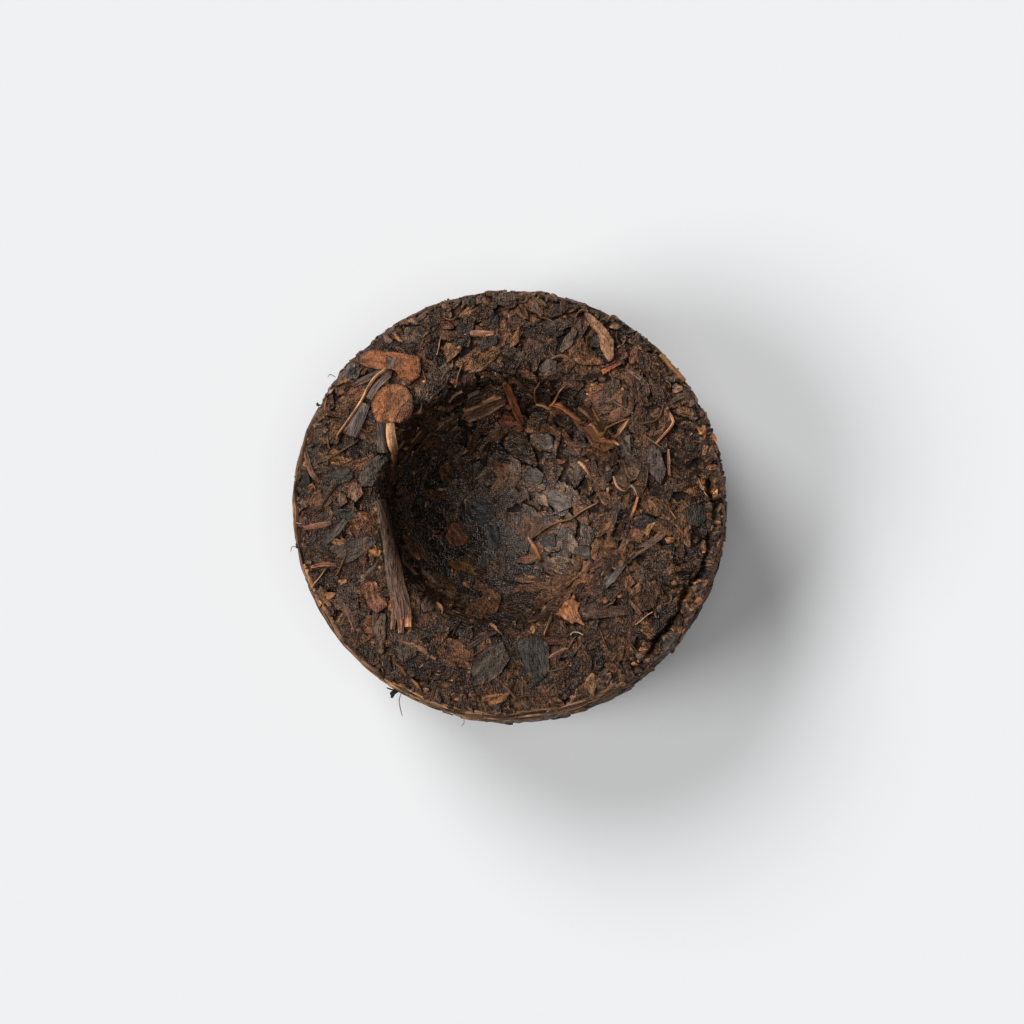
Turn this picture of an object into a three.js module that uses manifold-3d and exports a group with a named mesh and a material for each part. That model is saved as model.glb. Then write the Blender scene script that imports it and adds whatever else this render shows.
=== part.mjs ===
// A nest-shaped tea cake: steamed tea leaf pressed in a cloth bag into one solid piece.
// It lies on its domed back, with the bowl-shaped hollow of the press upwards.
// Millimetres, +Z up. The origin is the middle of the small flat spot that the cake rests on.

import * as THREE from "three";
import { mergeVertices } from "three/addons/utils/BufferGeometryUtils.js";
import Module from "manifold-3d";

// Driving dimensions of the pressed body
const OUTER_DIAMETER = 83.2;
const HEIGHT = 35.4;
const FOOT_DIAMETER = 34; // the flat spot in the middle of the domed back
const DOME_HEIGHT = 21; // from the foot up to where the wall stands upright
const WALL_LEAN = 0.4; // the wall draws in by this much towards the shoulder
const SHOULDER_WIDTH = 1.9;
const SHOULDER_HEIGHT = 2.4;
const SHOULDER_DROP = 0.6; // of the shoulder's inner edge below the crown
const CROWN_DIAMETER = 66; // the ring where the rim is highest
const LIP_DIAMETER = 53; // where the rim starts to turn down into the hollow
const LIP_DROP = 0.5;
const HOLLOW_DIAMETER = 48.5;
const HOLLOW_DEPTH = 24;
const LIP_HEIGHT = 3.4; // of the crown above the hollow's steepest ring
// The split along the shoulder: its ring, its first and last angle and the step between them in degrees
const CRACK = { radius: 39.1, from: -54, to: 8, step: 9, width: 0.9, depth: 1.2 };

// Driving dimensions of the leaf on it
const BUMP = { count: 520, length: [5, 10], width: [2.5, 5], height: 0.6, dents: 0.45 };
const LEAF = { length: [6, 13], width: [3.2, 6.5], rise: [0.45, 0.8], sides: 7, uneven: 0.3 };
const STALK = { length: [8, 15], width: [1.5, 2.6], rise: [0.6, 0.95], steps: 3 };
const SUNK = 1.3; // how far a fused leaf or stalk reaches into the body
const SPREAD_LEAVES = 74;
const SPREAD_STALKS = 12;
const CLEAR_OF_FOOT = 4; // middles of leaves and bumps keep this far above the resting face
const FLOOR_SHARE = 0.5; // of the room above the resting face that a leaf's edge may take up

// Fineness of the body
const AROUND = 56;
const SECTION_STEP = 3.1;
const MERGE_DISTANCE = 1e-3;
const SEED = 357;

// The large leaves on top, by the place of their middle seen from above, length, width and turn in degrees
const TOP_LEAVES = [
  { at: [-23.0, 20.6], length: 8.8, width: 8.2, turn: 25 }, // the round leaf
  { at: [-23.0, 28.0], length: 11.7, width: 5.8, turn: -8 }, // the red-brown leaf above it
  { at: [-27.1, 7.2], length: 6.6, width: 3.9, turn: 45 }, // the dark oval at the lip
  { at: [-26.0, -21.8], length: 13.0, width: 4.6, turn: 108 }, // the folded leaf beside the long stalk
  { at: [19.6, 19.5], length: 11.7, width: 7.6, turn: 15 }, // the smooth leaf over the lip
  { at: [19.0, -20.6], length: 10.4, width: 3.8, turn: -8 }, // the oval leaf low on the right
  { at: [11.8, -20.8], length: 7.0, width: 4.2, turn: -20 }, // the orange leaf at the hollow's edge
  { at: [4.7, -29.7], length: 10.4, width: 6.6, turn: 100 }, // the ribbed leaf at the front
  { at: [-3.4, -31.7], length: 9.0, width: 6.6, turn: 45 }, // the olive leaf beside it
  { at: [-31.0, 26.0], length: 7.0, width: 4.4, turn: 55 }, // the slate leaf at the shoulder
  { at: [-31.0, 2.4], length: 5.0, width: 4.2, turn: 20 }, // the curled leaf
  { at: [-10.6, -5.4], length: 5.6, width: 4.4, turn: 110 }, // the rust leaf in the hollow
  { at: [9.7, 3.1], length: 12.0, width: 9.0, turn: 30 }, // the pale leaf on the hollow's floor
];

// The long stalks on top, as points seen from above with the width at each end
const TOP_STALKS = [
  { along: [[-24.8, 1.8], [-24.6, -4.1], [-24.1, -9.7], [-21.8, -18.5], [-20.9, -24.1]], width: [1.6, 4.3] },
  { along: [[-23.8, 27.0], [-29.5, 21.2], [-34.3, 14.4]], width: [1.1, 1.1] },
  { along: [[-28.4, 20.6], [-31.4, 13.2]], width: [2.7, 2.5] },
  { along: [[-24.4, 16.6], [-24.4, 11.4]], width: [3.4, 3.2] },
  { along: [[-9.4, 17.5], [-5.2, 19.6], [-1.0, 21.8]], width: [2.4, 2.3] },
  { along: [[14.6, 36.6], [16.9, 33.7], [18.6, 31.3], [20.0, 28.2]], width: [2.3, 2.7] },
  { along: [[5.2, 20.2], [9.3, 20.4], [14.5, 17.7], [21.6, 12.3]], width: [1.2, 1.1] },
  { along: [[17.1, -17.5], [23.3, -10.7]], width: [2.0, 2.0] },
];

const FULL_TURN = 2 * Math.PI;
const GOLDEN_ANGLE = Math.PI * (3 - Math.sqrt(5));
const { clamp, degToRad, lerp, mapLinear, smoothstep } = THREE.MathUtils;

// A repeatable random number from 0 to 1: the mulberry mix of a counter.
function randomSource(seed) {
  let state = seed;
  return () => {
    state = (state + 0x6d2b79f5) | 0;
    let mixed = Math.imul(state ^ (state >>> 15), 1 | state);
    mixed = (mixed + Math.imul(mixed ^ (mixed >>> 7), 61 | mixed)) ^ mixed;
    return ((mixed ^ (mixed >>> 14)) >>> 0) / 2 ** 32;
  };
}

const random = randomSource(SEED);
const between = ([low, high]) => lerp(low, high, random());

// The outline of half a section, from the foot's edge over the dome, wall and rim to the hollow's floor.
function sectionPath() {
  const outer = OUTER_DIAMETER / 2;
  const foot = FOOT_DIAMETER / 2;
  const wall = outer - WALL_LEAN;
  const shoulderTop = HEIGHT - SHOULDER_DROP;
  const crown = CROWN_DIAMETER / 2;
  const lip = LIP_DIAMETER / 2;
  const hollow = HOLLOW_DIAMETER / 2;
  const hollowTop = HEIGHT - LIP_HEIGHT;
  const path = new THREE.Path();
  path.moveTo(foot, 0);
  path.absellipse(foot, DOME_HEIGHT, outer - foot, DOME_HEIGHT, -Math.PI / 2, 0);
  path.lineTo(wall, shoulderTop - SHOULDER_HEIGHT);
  path.quadraticCurveTo(wall, shoulderTop, wall - SHOULDER_WIDTH, shoulderTop);
  path.quadraticCurveTo(crown + SHOULDER_WIDTH, HEIGHT, crown, HEIGHT);
  path.quadraticCurveTo((crown + lip) / 2, HEIGHT, lip, HEIGHT - LIP_DROP);
  path.quadraticCurveTo(hollow, HEIGHT - 2 * LIP_DROP, hollow, hollowTop);
  path.absellipse(0, hollowTop, hollow, HOLLOW_DEPTH - LIP_HEIGHT, 0, -Math.PI / 2, true);
  return path;
}

// The section as a polyline with outward normals, so that leaf can be laid on the body.
function sectionLine() {
  const points = [new THREE.Vector2(FOOT_DIAMETER / 2, 0)];
  for (const curve of sectionPath().curves) {
    const length = curve.getLength();
    const steps = Math.max(2, Math.round(length / SECTION_STEP));
    if (length > MERGE_DISTANCE) points.push(...curve.getSpacedPoints(steps).slice(1));
  }
  points[points.length - 1].x = 0;
  const normals = points.map((_, i) => {
    const before = points[Math.max(i - 1, 0)];
    const after = points[Math.min(i + 1, points.length - 1)];
    return new THREE.Vector2(after.y - before.y, before.x - after.x).normalize();
  });
  normals[normals.length - 1].set(0, 1);
  return { points, normals };
}

const section = sectionLine();

// The place on the smooth body nearest to a point: its radius, height and outward normal.
function nearestOnSection(radius, height) {
  let best = { distance: Infinity };
  for (let i = 0; i + 1 < section.points.length; i++) {
    const start = section.points[i];
    const end = section.points[i + 1];
    const run = end.clone().sub(start);
    const along = (radius - start.x) * run.x + (height - start.y) * run.y;
    const share = clamp(along / run.lengthSq(), 0, 1);
    const point = start.clone().lerp(end, share);
    const distance = Math.hypot(point.x - radius, point.y - height);
    if (distance < best.distance) {
      const normal = section.normals[i].clone().lerp(section.normals[i + 1], share).normalize();
      best = { distance, point, normal };
    }
  }
  return best;
}

// A point of space moved onto the smooth body and lifted off it by a height, but not through the resting face.
function settle(point, lift) {
  const angle = Math.atan2(point.y, point.x);
  const { point: place, normal } = nearestOnSection(Math.hypot(point.x, point.y), point.z);
  const room = normal.y < 0 ? (FLOOR_SHARE * place.y) / -normal.y : Infinity;
  const height = Math.min(lift, room);
  const radius = place.x + normal.x * height;
  return new THREE.Vector3(radius * Math.cos(angle), radius * Math.sin(angle), place.y + normal.y * height);
}

// A spot on the body with its outward normal and the direction around the cake.
function spotAt(radius, height, angle) {
  const { point, normal } = nearestOnSection(radius, height);
  const outward = new THREE.Vector3(Math.cos(angle), Math.sin(angle), 0);
  const around = new THREE.Vector3(-Math.sin(angle), Math.cos(angle), 0);
  const up = outward.clone().multiplyScalar(normal.x).setZ(normal.y);
  const place = outward.clone().multiplyScalar(point.x).setZ(point.y);
  return { place, up, around };
}

// The spot on the rim or in the hollow that is seen at x, y from above.
function spotFromAbove([x, y]) {
  const radius = Math.hypot(x, y);
  const outwards = section.points.toReversed();
  const beyond = outwards.findIndex((point) => point.x > 0 && point.x >= radius);
  const outer = outwards[beyond];
  const inner = outwards[beyond - 1];
  const height = mapLinear(radius, inner.x, outer.x, inner.y, outer.y);
  return spotAt(radius, height, Math.atan2(y, x));
}

// Spots spread evenly over the skin above the foot, by area along the section and the golden angle around it.
function spreadSpots(count) {
  const bands = [];
  let total = 0;
  for (let i = 0; i + 1 < section.points.length; i++) {
    const start = section.points[i];
    const end = section.points[i + 1];
    if (start.y < CLEAR_OF_FOOT) continue;
    total += ((start.x + end.x) / 2) * start.distanceTo(end);
    bands.push({ start, end, upTo: total });
  }
  const turned = random() * FULL_TURN;
  return Array.from({ length: count }, (_, k) => {
    const wanted = ((k + 0.5) / count) * total;
    const band = bands.find(({ upTo }) => upTo >= wanted);
    const place = band.start.clone().lerp(band.end, random());
    return spotAt(place.x, place.y, turned + k * GOLDEN_ANGLE);
  });
}

// The quads of the edge between an upper and a lower ring of points.
function edgeFaces(count) {
  const faces = [];
  for (let i = 0; i < count; i++) {
    const next = (i + 1) % count;
    faces.push(i, count + i, count + next, i, count + next, next);
  }
  return faces;
}

// A pressed leaf: an oval slab with an uneven edge that follows the body, both faces fanned from the middle.
function leafSolid({ place, up, around }, { length, width, turn, rise }) {
  const way = around.clone().applyAxisAngle(up, turn);
  const across = up.clone().cross(way);
  const uneven = () => 1 - LEAF.uneven * random();
  const upper = [];
  const lower = [];
  for (let i = 0; i < LEAF.sides; i++) {
    const angle = (FULL_TURN * (i + uneven())) / LEAF.sides;
    const reach = uneven() / (1 - LEAF.uneven / 2);
    const point = place
      .clone()
      .addScaledVector(way, (length / 2) * reach * Math.cos(angle))
      .addScaledVector(across, (width / 2) * reach * Math.sin(angle));
    upper.push(settle(point, rise * uneven()));
    lower.push(settle(point, -SUNK));
  }
  const corners = [...upper, ...lower, settle(place, rise), settle(place, -SUNK)];
  const faces = edgeFaces(LEAF.sides);
  const upperMiddle = 2 * LEAF.sides;
  for (let i = 0; i < LEAF.sides; i++) {
    const next = (i + 1) % LEAF.sides;
    faces.push(i, next, upperMiddle);
    faces.push(LEAF.sides + next, LEAF.sides + i, upperMiddle + 1);
  }
  return new THREE.BufferGeometry().setFromPoints(corners).setIndex(faces);
}

// A strip along a line of points on the body, from one width to another, between a top and a bottom lift.
function stripSolid(line, [startWidth, endWidth], top, bottom) {
  const curve = new THREE.CatmullRomCurve3(line);
  const steps = Math.max(line.length - 1, STALK.steps);
  const left = [];
  const right = [];
  for (let i = 0; i <= steps; i++) {
    const share = i / steps;
    const point = curve.getPoint(share);
    const up = settle(point, 1).sub(settle(point, 0));
    const across = up.cross(curve.getTangent(share)).normalize();
    const half = lerp(startWidth, endWidth, share) / 2;
    left.push(point.clone().addScaledVector(across, half));
    right.push(point.clone().addScaledVector(across, -half));
  }
  const outline = [...right, ...left.reverse()];
  const count = outline.length;
  const corners = [top, bottom].flatMap((lift) => outline.map((point) => settle(point, lift)));
  const faces = edgeFaces(count);
  for (let i = 0; i < steps; i++) {
    const far = count - 1 - i;
    faces.push(i, i + 1, far, i + 1, far - 1, far);
    faces.push(count + i, count + far, count + i + 1, count + i + 1, count + far, count + far - 1);
  }
  return new THREE.BufferGeometry().setFromPoints(corners).setIndex(faces);
}

// The leaf-sized bumps of the body's own skin: each is a low oval swelling or dent.
function makeBumps() {
  return spreadSpots(BUMP.count).map(({ place, up, around }) => {
    const way = around.clone().applyAxisAngle(up, random() * FULL_TURN);
    const across = up.clone().cross(way);
    const length = between(BUMP.length) / 2;
    const width = between(BUMP.width) / 2;
    const height = BUMP.height * (random() - BUMP.dents);
    return { place, way, across, length, width, height };
  });
}

function bumpHeight(point, bumps) {
  let height = 0;
  for (const bump of bumps) {
    const offset = point.clone().sub(bump.place);
    const far = Math.hypot(offset.dot(bump.way) / bump.length, offset.dot(bump.across) / bump.width);
    if (far < 1 && offset.length() < bump.length) height += bump.height * (1 - far * far);
  }
  return clamp(height, -BUMP.height, BUMP.height);
}

// The pressed body: a turned nest with leaf-sized bumps that fade out towards the flat foot.
function bodyGeometry() {
  const outline = [new THREE.Vector2(0, 0), ...section.points];
  const turned = new THREE.LatheGeometry(outline, AROUND).rotateX(Math.PI / 2);
  turned.deleteAttribute("normal");
  turned.deleteAttribute("uv");
  const body = mergeVertices(turned, MERGE_DISTANCE);
  const bumps = makeBumps();
  const corners = body.getAttribute("position");
  const point = new THREE.Vector3();
  for (let i = 0; i < corners.count; i++) {
    point.fromBufferAttribute(corners, i);
    const fade = smoothstep(point.z, CLEAR_OF_FOOT / 4, CLEAR_OF_FOOT);
    if (fade > 0) point.copy(settle(point, fade * bumpHeight(point, bumps)));
    corners.setXYZ(i, point.x, point.y, point.z);
  }
  return body;
}

// Every leaf that is large enough to be a solid of its own shape.
function leafGeometries() {
  const shown = TOP_LEAVES.map(({ at, length, width, turn }) => {
    const aroundHere = Math.atan2(at[1], at[0]) + Math.PI / 2;
    const turnHere = degToRad(turn) - aroundHere;
    return leafSolid(spotFromAbove(at), { length, width, turn: turnHere, rise: LEAF.rise[1] });
  });
  const spread = spreadSpots(SPREAD_LEAVES).map((spot) =>
    leafSolid(spot, {
      length: between(LEAF.length),
      width: between(LEAF.width),
      turn: random() * FULL_TURN,
      rise: between(LEAF.rise),
    }),
  );
  return [...shown, ...spread];
}

// Every stalk that is thick enough to be a solid of its own shape.
function stalkGeometries() {
  const shown = TOP_STALKS.map(({ along, width }) => {
    const line = along.map((at) => spotFromAbove(at).place);
    return stripSolid(line, width, STALK.rise[1], -SUNK);
  });
  const spread = spreadSpots(SPREAD_STALKS).map(({ place, up, around }) => {
    const way = around.clone().applyAxisAngle(up, random() * FULL_TURN);
    const half = between(STALK.length) / 2;
    const width = between(STALK.width);
    const line = [-half, 0, half].map((reach) => settle(place.clone().addScaledVector(way, reach), 0));
    return stripSolid(line, [width, width], between(STALK.rise), -SUNK);
  });
  return [...shown, ...spread];
}

// The split along the shoulder, where the outer layers have parted.
function crackGeometry() {
  const steps = Math.round((CRACK.to - CRACK.from) / CRACK.step);
  const line = Array.from({ length: steps + 1 }, (_, i) => {
    const angle = degToRad(lerp(CRACK.from, CRACK.to, i / steps));
    const radius = CRACK.radius + CRACK.width * (random() - 0.5);
    return spotFromAbove([radius * Math.cos(angle), radius * Math.sin(angle)]).place;
  });
  return stripSolid(line, [CRACK.width, CRACK.width], 2 * SUNK, -CRACK.depth);
}

const wasm = await Module();
wasm.setup();

function toSolid(geometry) {
  return new wasm.Manifold(
    new wasm.Mesh({
      numProp: 3,
      vertProperties: new Float32Array(geometry.getAttribute("position").array),
      triVerts: new Uint32Array(geometry.index.array),
    }),
  );
}

function toGeometry(solid) {
  const mesh = solid.getMesh();
  return new THREE.BufferGeometry()
    .setAttribute("position", new THREE.BufferAttribute(new Float32Array(mesh.vertProperties), 3))
    .setIndex(new THREE.BufferAttribute(new Uint32Array(mesh.triVerts), 1));
}

// The whole cake is one piece: the body with its leaves and stalks fused on, split at the shoulder.
function cakeGeometry() {
  const pieces = [...leafGeometries(), ...stalkGeometries()];
  const fused = pieces.reduce((whole, piece) => whole.add(toSolid(piece)), toSolid(bodyGeometry()));
  const geometry = toGeometry(fused.subtract(toSolid(crackGeometry())));
  geometry.computeVertexNormals();
  return geometry;
}

const pressedLeaf = new THREE.MeshStandardMaterial({ color: 0x4a372b, roughness: 0.8, metalness: 0 });
const teaCake = new THREE.Mesh(cakeGeometry(), pressedLeaf);
teaCake.name = "tea_cake";

const part = new THREE.Group();
part.add(teaCake);

export default part;
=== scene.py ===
import math

import bpy
import numpy as np
from mathutils import Matrix, Vector


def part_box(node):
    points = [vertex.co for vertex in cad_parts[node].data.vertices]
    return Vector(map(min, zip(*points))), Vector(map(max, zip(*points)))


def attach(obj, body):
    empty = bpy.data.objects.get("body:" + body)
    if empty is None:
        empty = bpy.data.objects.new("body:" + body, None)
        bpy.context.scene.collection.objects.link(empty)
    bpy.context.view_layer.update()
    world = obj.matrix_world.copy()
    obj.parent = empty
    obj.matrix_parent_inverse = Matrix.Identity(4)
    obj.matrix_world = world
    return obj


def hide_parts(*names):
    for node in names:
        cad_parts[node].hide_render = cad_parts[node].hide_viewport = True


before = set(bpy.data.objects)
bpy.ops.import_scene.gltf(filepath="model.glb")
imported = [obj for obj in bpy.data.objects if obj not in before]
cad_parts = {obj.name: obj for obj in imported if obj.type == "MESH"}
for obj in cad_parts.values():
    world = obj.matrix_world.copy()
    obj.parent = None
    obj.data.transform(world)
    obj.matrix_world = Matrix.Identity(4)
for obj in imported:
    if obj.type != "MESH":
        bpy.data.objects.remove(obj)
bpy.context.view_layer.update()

# The pressed body
# Steamed leaf, knotted into a cloth bag and pressed into a nest with a domed back, a flat rim and a hollow.
# Under the leaves that show it is one dense mass of leaf dust, which all the rest is pressed into.

MM = 0.001
SEED = 357
draw = np.random.default_rng(SEED)

node_low, node_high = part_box("tea_cake")
LEAF_RISE = 0.5  # the leaves that show stand about this far off the body
OUTER_RADIUS = (node_high.x - node_low.x) / MM / 2 - LEAF_RISE
HEIGHT = node_high.z / MM - 2 * LEAF_RISE
FOOT_RADIUS = 17
DOME_HEIGHT = 21
WALL_LEAN = 0.4
SHOULDER_WIDTH = 1.9
SHOULDER_HEIGHT = 2.4
SHOULDER_DROP = 0.6
CROWN_RADIUS = 33
LIP_RADIUS = 26.5
LIP_DROP = 0.5
HOLLOW_RADIUS = 24.25
HOLLOW_DEPTH = 24
LIP_HEIGHT = 3.4
SECTION_STEP = 0.25
OVAL_POINTS = 90
BEND_POINTS = 30


def quarter_oval(middle, across, up, start, end):
    """Points of an oval arc between two angles."""
    angle = np.linspace(start, end, OVAL_POINTS)
    return np.column_stack((middle[0] + across * np.cos(angle), middle[1] + up * np.sin(angle)))


def bend(start, corner, end):
    """Points of a curve that leaves start towards the corner and comes from the corner to the end."""
    share = np.linspace(0, 1, BEND_POINTS)[:, None]
    inner = (1 - share) * np.array(start) + share * np.array(corner)
    outer = (1 - share) * np.array(corner) + share * np.array(end)
    return (1 - share) * inner + share * outer


def section_line():
    """Half a section in even steps, from the middle of the foot round to the middle of the hollow's floor."""
    wall = OUTER_RADIUS - WALL_LEAN
    shoulder = HEIGHT - SHOULDER_DROP
    bowl = HEIGHT - LIP_HEIGHT
    dome = DOME_HEIGHT - LEAF_RISE
    edge = (wall - SHOULDER_WIDTH, shoulder)
    crown = (CROWN_RADIUS, HEIGHT)
    lip = (LIP_RADIUS, HEIGHT - LIP_DROP)
    rough = np.vstack((
        [(0, LEAF_RISE)],
        quarter_oval((FOOT_RADIUS, DOME_HEIGHT), OUTER_RADIUS - FOOT_RADIUS, dome, -math.pi / 2, 0),
        bend((wall, shoulder - SHOULDER_HEIGHT), (wall, shoulder), edge),
        bend(edge, (CROWN_RADIUS + SHOULDER_WIDTH, HEIGHT), crown),
        bend(crown, ((CROWN_RADIUS + LIP_RADIUS) / 2, HEIGHT), lip),
        bend(lip, (HOLLOW_RADIUS, HEIGHT - 2 * LIP_DROP), (HOLLOW_RADIUS, bowl)),
        quarter_oval((0, bowl), HOLLOW_RADIUS, HOLLOW_DEPTH - LIP_HEIGHT, 0, -math.pi / 2),
    ))
    run = np.concatenate(([0], np.cumsum(np.hypot(*np.diff(rough, axis=0).T))))
    steps = np.linspace(0, run[-1], int(run[-1] / SECTION_STEP))
    return np.column_stack((np.interp(steps, run, rough[:, 0]), np.interp(steps, run, rough[:, 1]))), steps


SECTION, ARC = section_line()
section_way = np.gradient(SECTION, ARC, axis=0)
section_way /= np.linalg.norm(section_way, axis=1)[:, None]
SECTION_NORMAL = np.column_stack((section_way[:, 1], -section_way[:, 0]))
SECTION_NORMAL[0] = (0, -1)
SECTION_NORMAL[-1] = (0, 1)

top_start = int(np.argmax(SECTION[:, 1] > HEIGHT - SHOULDER_DROP - SHOULDER_HEIGHT))
TOP_RADIUS = SECTION[:top_start:-1, 0]
TOP_HEIGHT = SECTION[:top_start:-1, 1]
TOP_ARC = ARC[:top_start:-1]
CRACK_RADIUS = 39.7  # the edge has begun to break away along a crack at the right
CRACK_ARC = np.interp(CRACK_RADIUS, TOP_RADIUS, TOP_ARC)
CRACK_FROM, CRACK_TO, CRACK_ENDS = math.radians(-56), math.radians(9), math.radians(6)
CRACK_HALF_WIDTH = 0.9
CRACK_DEPTH = 3.6
CRACK_WINDING = ((0.55, 9), (0.4, 23), (0.2, 57))  # mm to each side, and waves in a full turn of the cake
CRACK_UNEVEN = 0.3
CRACK_NARROWINGS = (31, 13)  # waves in a full turn of its width and depth


def crack(arc, angle):
    """How far the surface drops into the crack in the shoulder, which winds a little."""
    turned = (angle + math.pi) % (2 * math.pi) - math.pi
    middle = CRACK_ARC + sum(reach * np.sin(waves * turned) for reach, waves in CRACK_WINDING)
    narrowing = math.prod(np.sin(waves * turned) for waves in CRACK_NARROWINGS)
    uneven = 1 - CRACK_UNEVEN + CRACK_UNEVEN * narrowing
    inside = np.clip(1 - np.abs(arc - middle) / (CRACK_HALF_WIDTH * uneven), 0, 1)
    first_end = np.clip((turned - CRACK_FROM) / CRACK_ENDS, 0, 1)
    last_end = np.clip((CRACK_TO - turned) / CRACK_ENDS, 0, 1)
    return CRACK_DEPTH * uneven * inside * first_end * last_end


def at_arc(arc):
    """Radius, height and outward normal of the body at a length along its section."""
    columns = (SECTION[:, 0], SECTION[:, 1], SECTION_NORMAL[:, 0], SECTION_NORMAL[:, 1])
    return [np.interp(arc, ARC, column) for column in columns]


def lifted(arc, angle, lift):
    """Points at a lift off the body, kept above the surface that the cake rests on."""
    radius, height, out, up = at_arc(arc)
    lift = lift - crack(arc, angle)
    reach = radius + out * lift
    over = np.maximum(height + up * lift, 0)
    return np.stack(np.broadcast_arrays(reach * np.cos(angle), reach * np.sin(angle), over), axis=-1)


RIPPLE_WAVES = 7
RIPPLE_SPREAD = (0.6, 1.5)  # the waves are this much longer or shorter than each other
RIPPLE_MOST = 1.5


def ripple(points, wavelength):
    """Uneven swelling from -1 to 1 whose bumps are about one wavelength apart."""
    ways = draw.normal(size=(RIPPLE_WAVES, points.shape[-1]))
    ways /= np.linalg.norm(ways, axis=1)[:, None]
    ways *= 2 * math.pi / wavelength * draw.uniform(*RIPPLE_SPREAD, (RIPPLE_WAVES, 1))
    phases = draw.uniform(0, 2 * math.pi, RIPPLE_WAVES)
    total = sum(np.sin(points @ way + phase) for way, phase in zip(ways, phases))
    return np.clip(total / math.sqrt(RIPPLE_WAVES), -RIPPLE_MOST, RIPPLE_MOST) / RIPPLE_MOST


def linear(hex_colour):
    """Linear red, green and blue of an sRGB hex colour."""
    parts = np.array([int(hex_colour[i:i + 2], 16) for i in (1, 3, 5)]) / 255
    return np.where(parts <= 0.04045, parts / 12.92, ((parts + 0.055) / 1.055) ** 2.4)


def add_node(tree, kind, inputs=None, **settings):
    """Adds a node with its settings. An input is a plain value or the output that it is linked to."""
    made = tree.nodes.new(kind)
    for name, value in settings.items():
        setattr(made, name, value)
    for name, value in (inputs or {}).items():
        if isinstance(value, bpy.types.NodeSocket):
            tree.links.new(value, made.inputs[name])
        else:
            made.inputs[name].default_value = value
    return made


LEAF_IOR = 1.45
MOTTLE = 1.7  # mm across one patch of a leaf's mottling
MOTTLE_RANGE = (0.3, 0.7)  # of its noise, from the dark patches to the pale ones
MOTTLE_SHADES = (0.7, 1.4)
MOTTLE_GLOSS = (0.12, -0.08)  # dark patches are duller, and pale ones shinier
CRACKLE = 0.6  # mm across one loop of the finest lines, drawn coarser than the real ones so that they show
FOLD_STEP = 0.25  # of the noise, from the crest of a wrinkle to its furrow
CRACKLE_STEP = 0.25
FOLD_SHARE = 0.6
CRACKLE_SHARE = 0.5
# The wrinkles' height is also turned into colour: painted shade in the furrows, painted light on the crests
FURROW_RANGE = (-0.2, 0.3)
CREST_PAINTED_LIGHT = 1.6
CLOTH_THREAD = 0.6  # mm from thread to thread of the cloth that the cake was pressed in
CLOTH_TURN = (0.5, 0.35, 0.9)
CLOTH_PULL = 1.5  # mm that the threads are pulled out of line by the leaf under them
CLOTH_PRINT = 0.1
KNOT_PRINT = 0.14  # the cloth was pulled tight over the bag's knot, which pressed the hollow's floor
KNOT_FLATTENING = 0.4
KNOT_GLOSS = 0.11
# Colour of torn edges frayed pale, which also paints the highlight that leaf edges catch
TORN_AND_LIT_EDGE = "#966c4a"
EDGE_END = 1.02  # in shares of a leaf's reach, where the painted shade of its turned-down edge is darkest
EDGE_PAINTED_SHADE = 0.08
FRAY_AND_HIGHLIGHT_RING = (0.84, 0.92)  # in shares of a leaf's reach, where fraying and its painted highlight set in
FRAY_AND_HIGHLIGHT_PATCHES = (0.52, 0.6)


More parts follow.
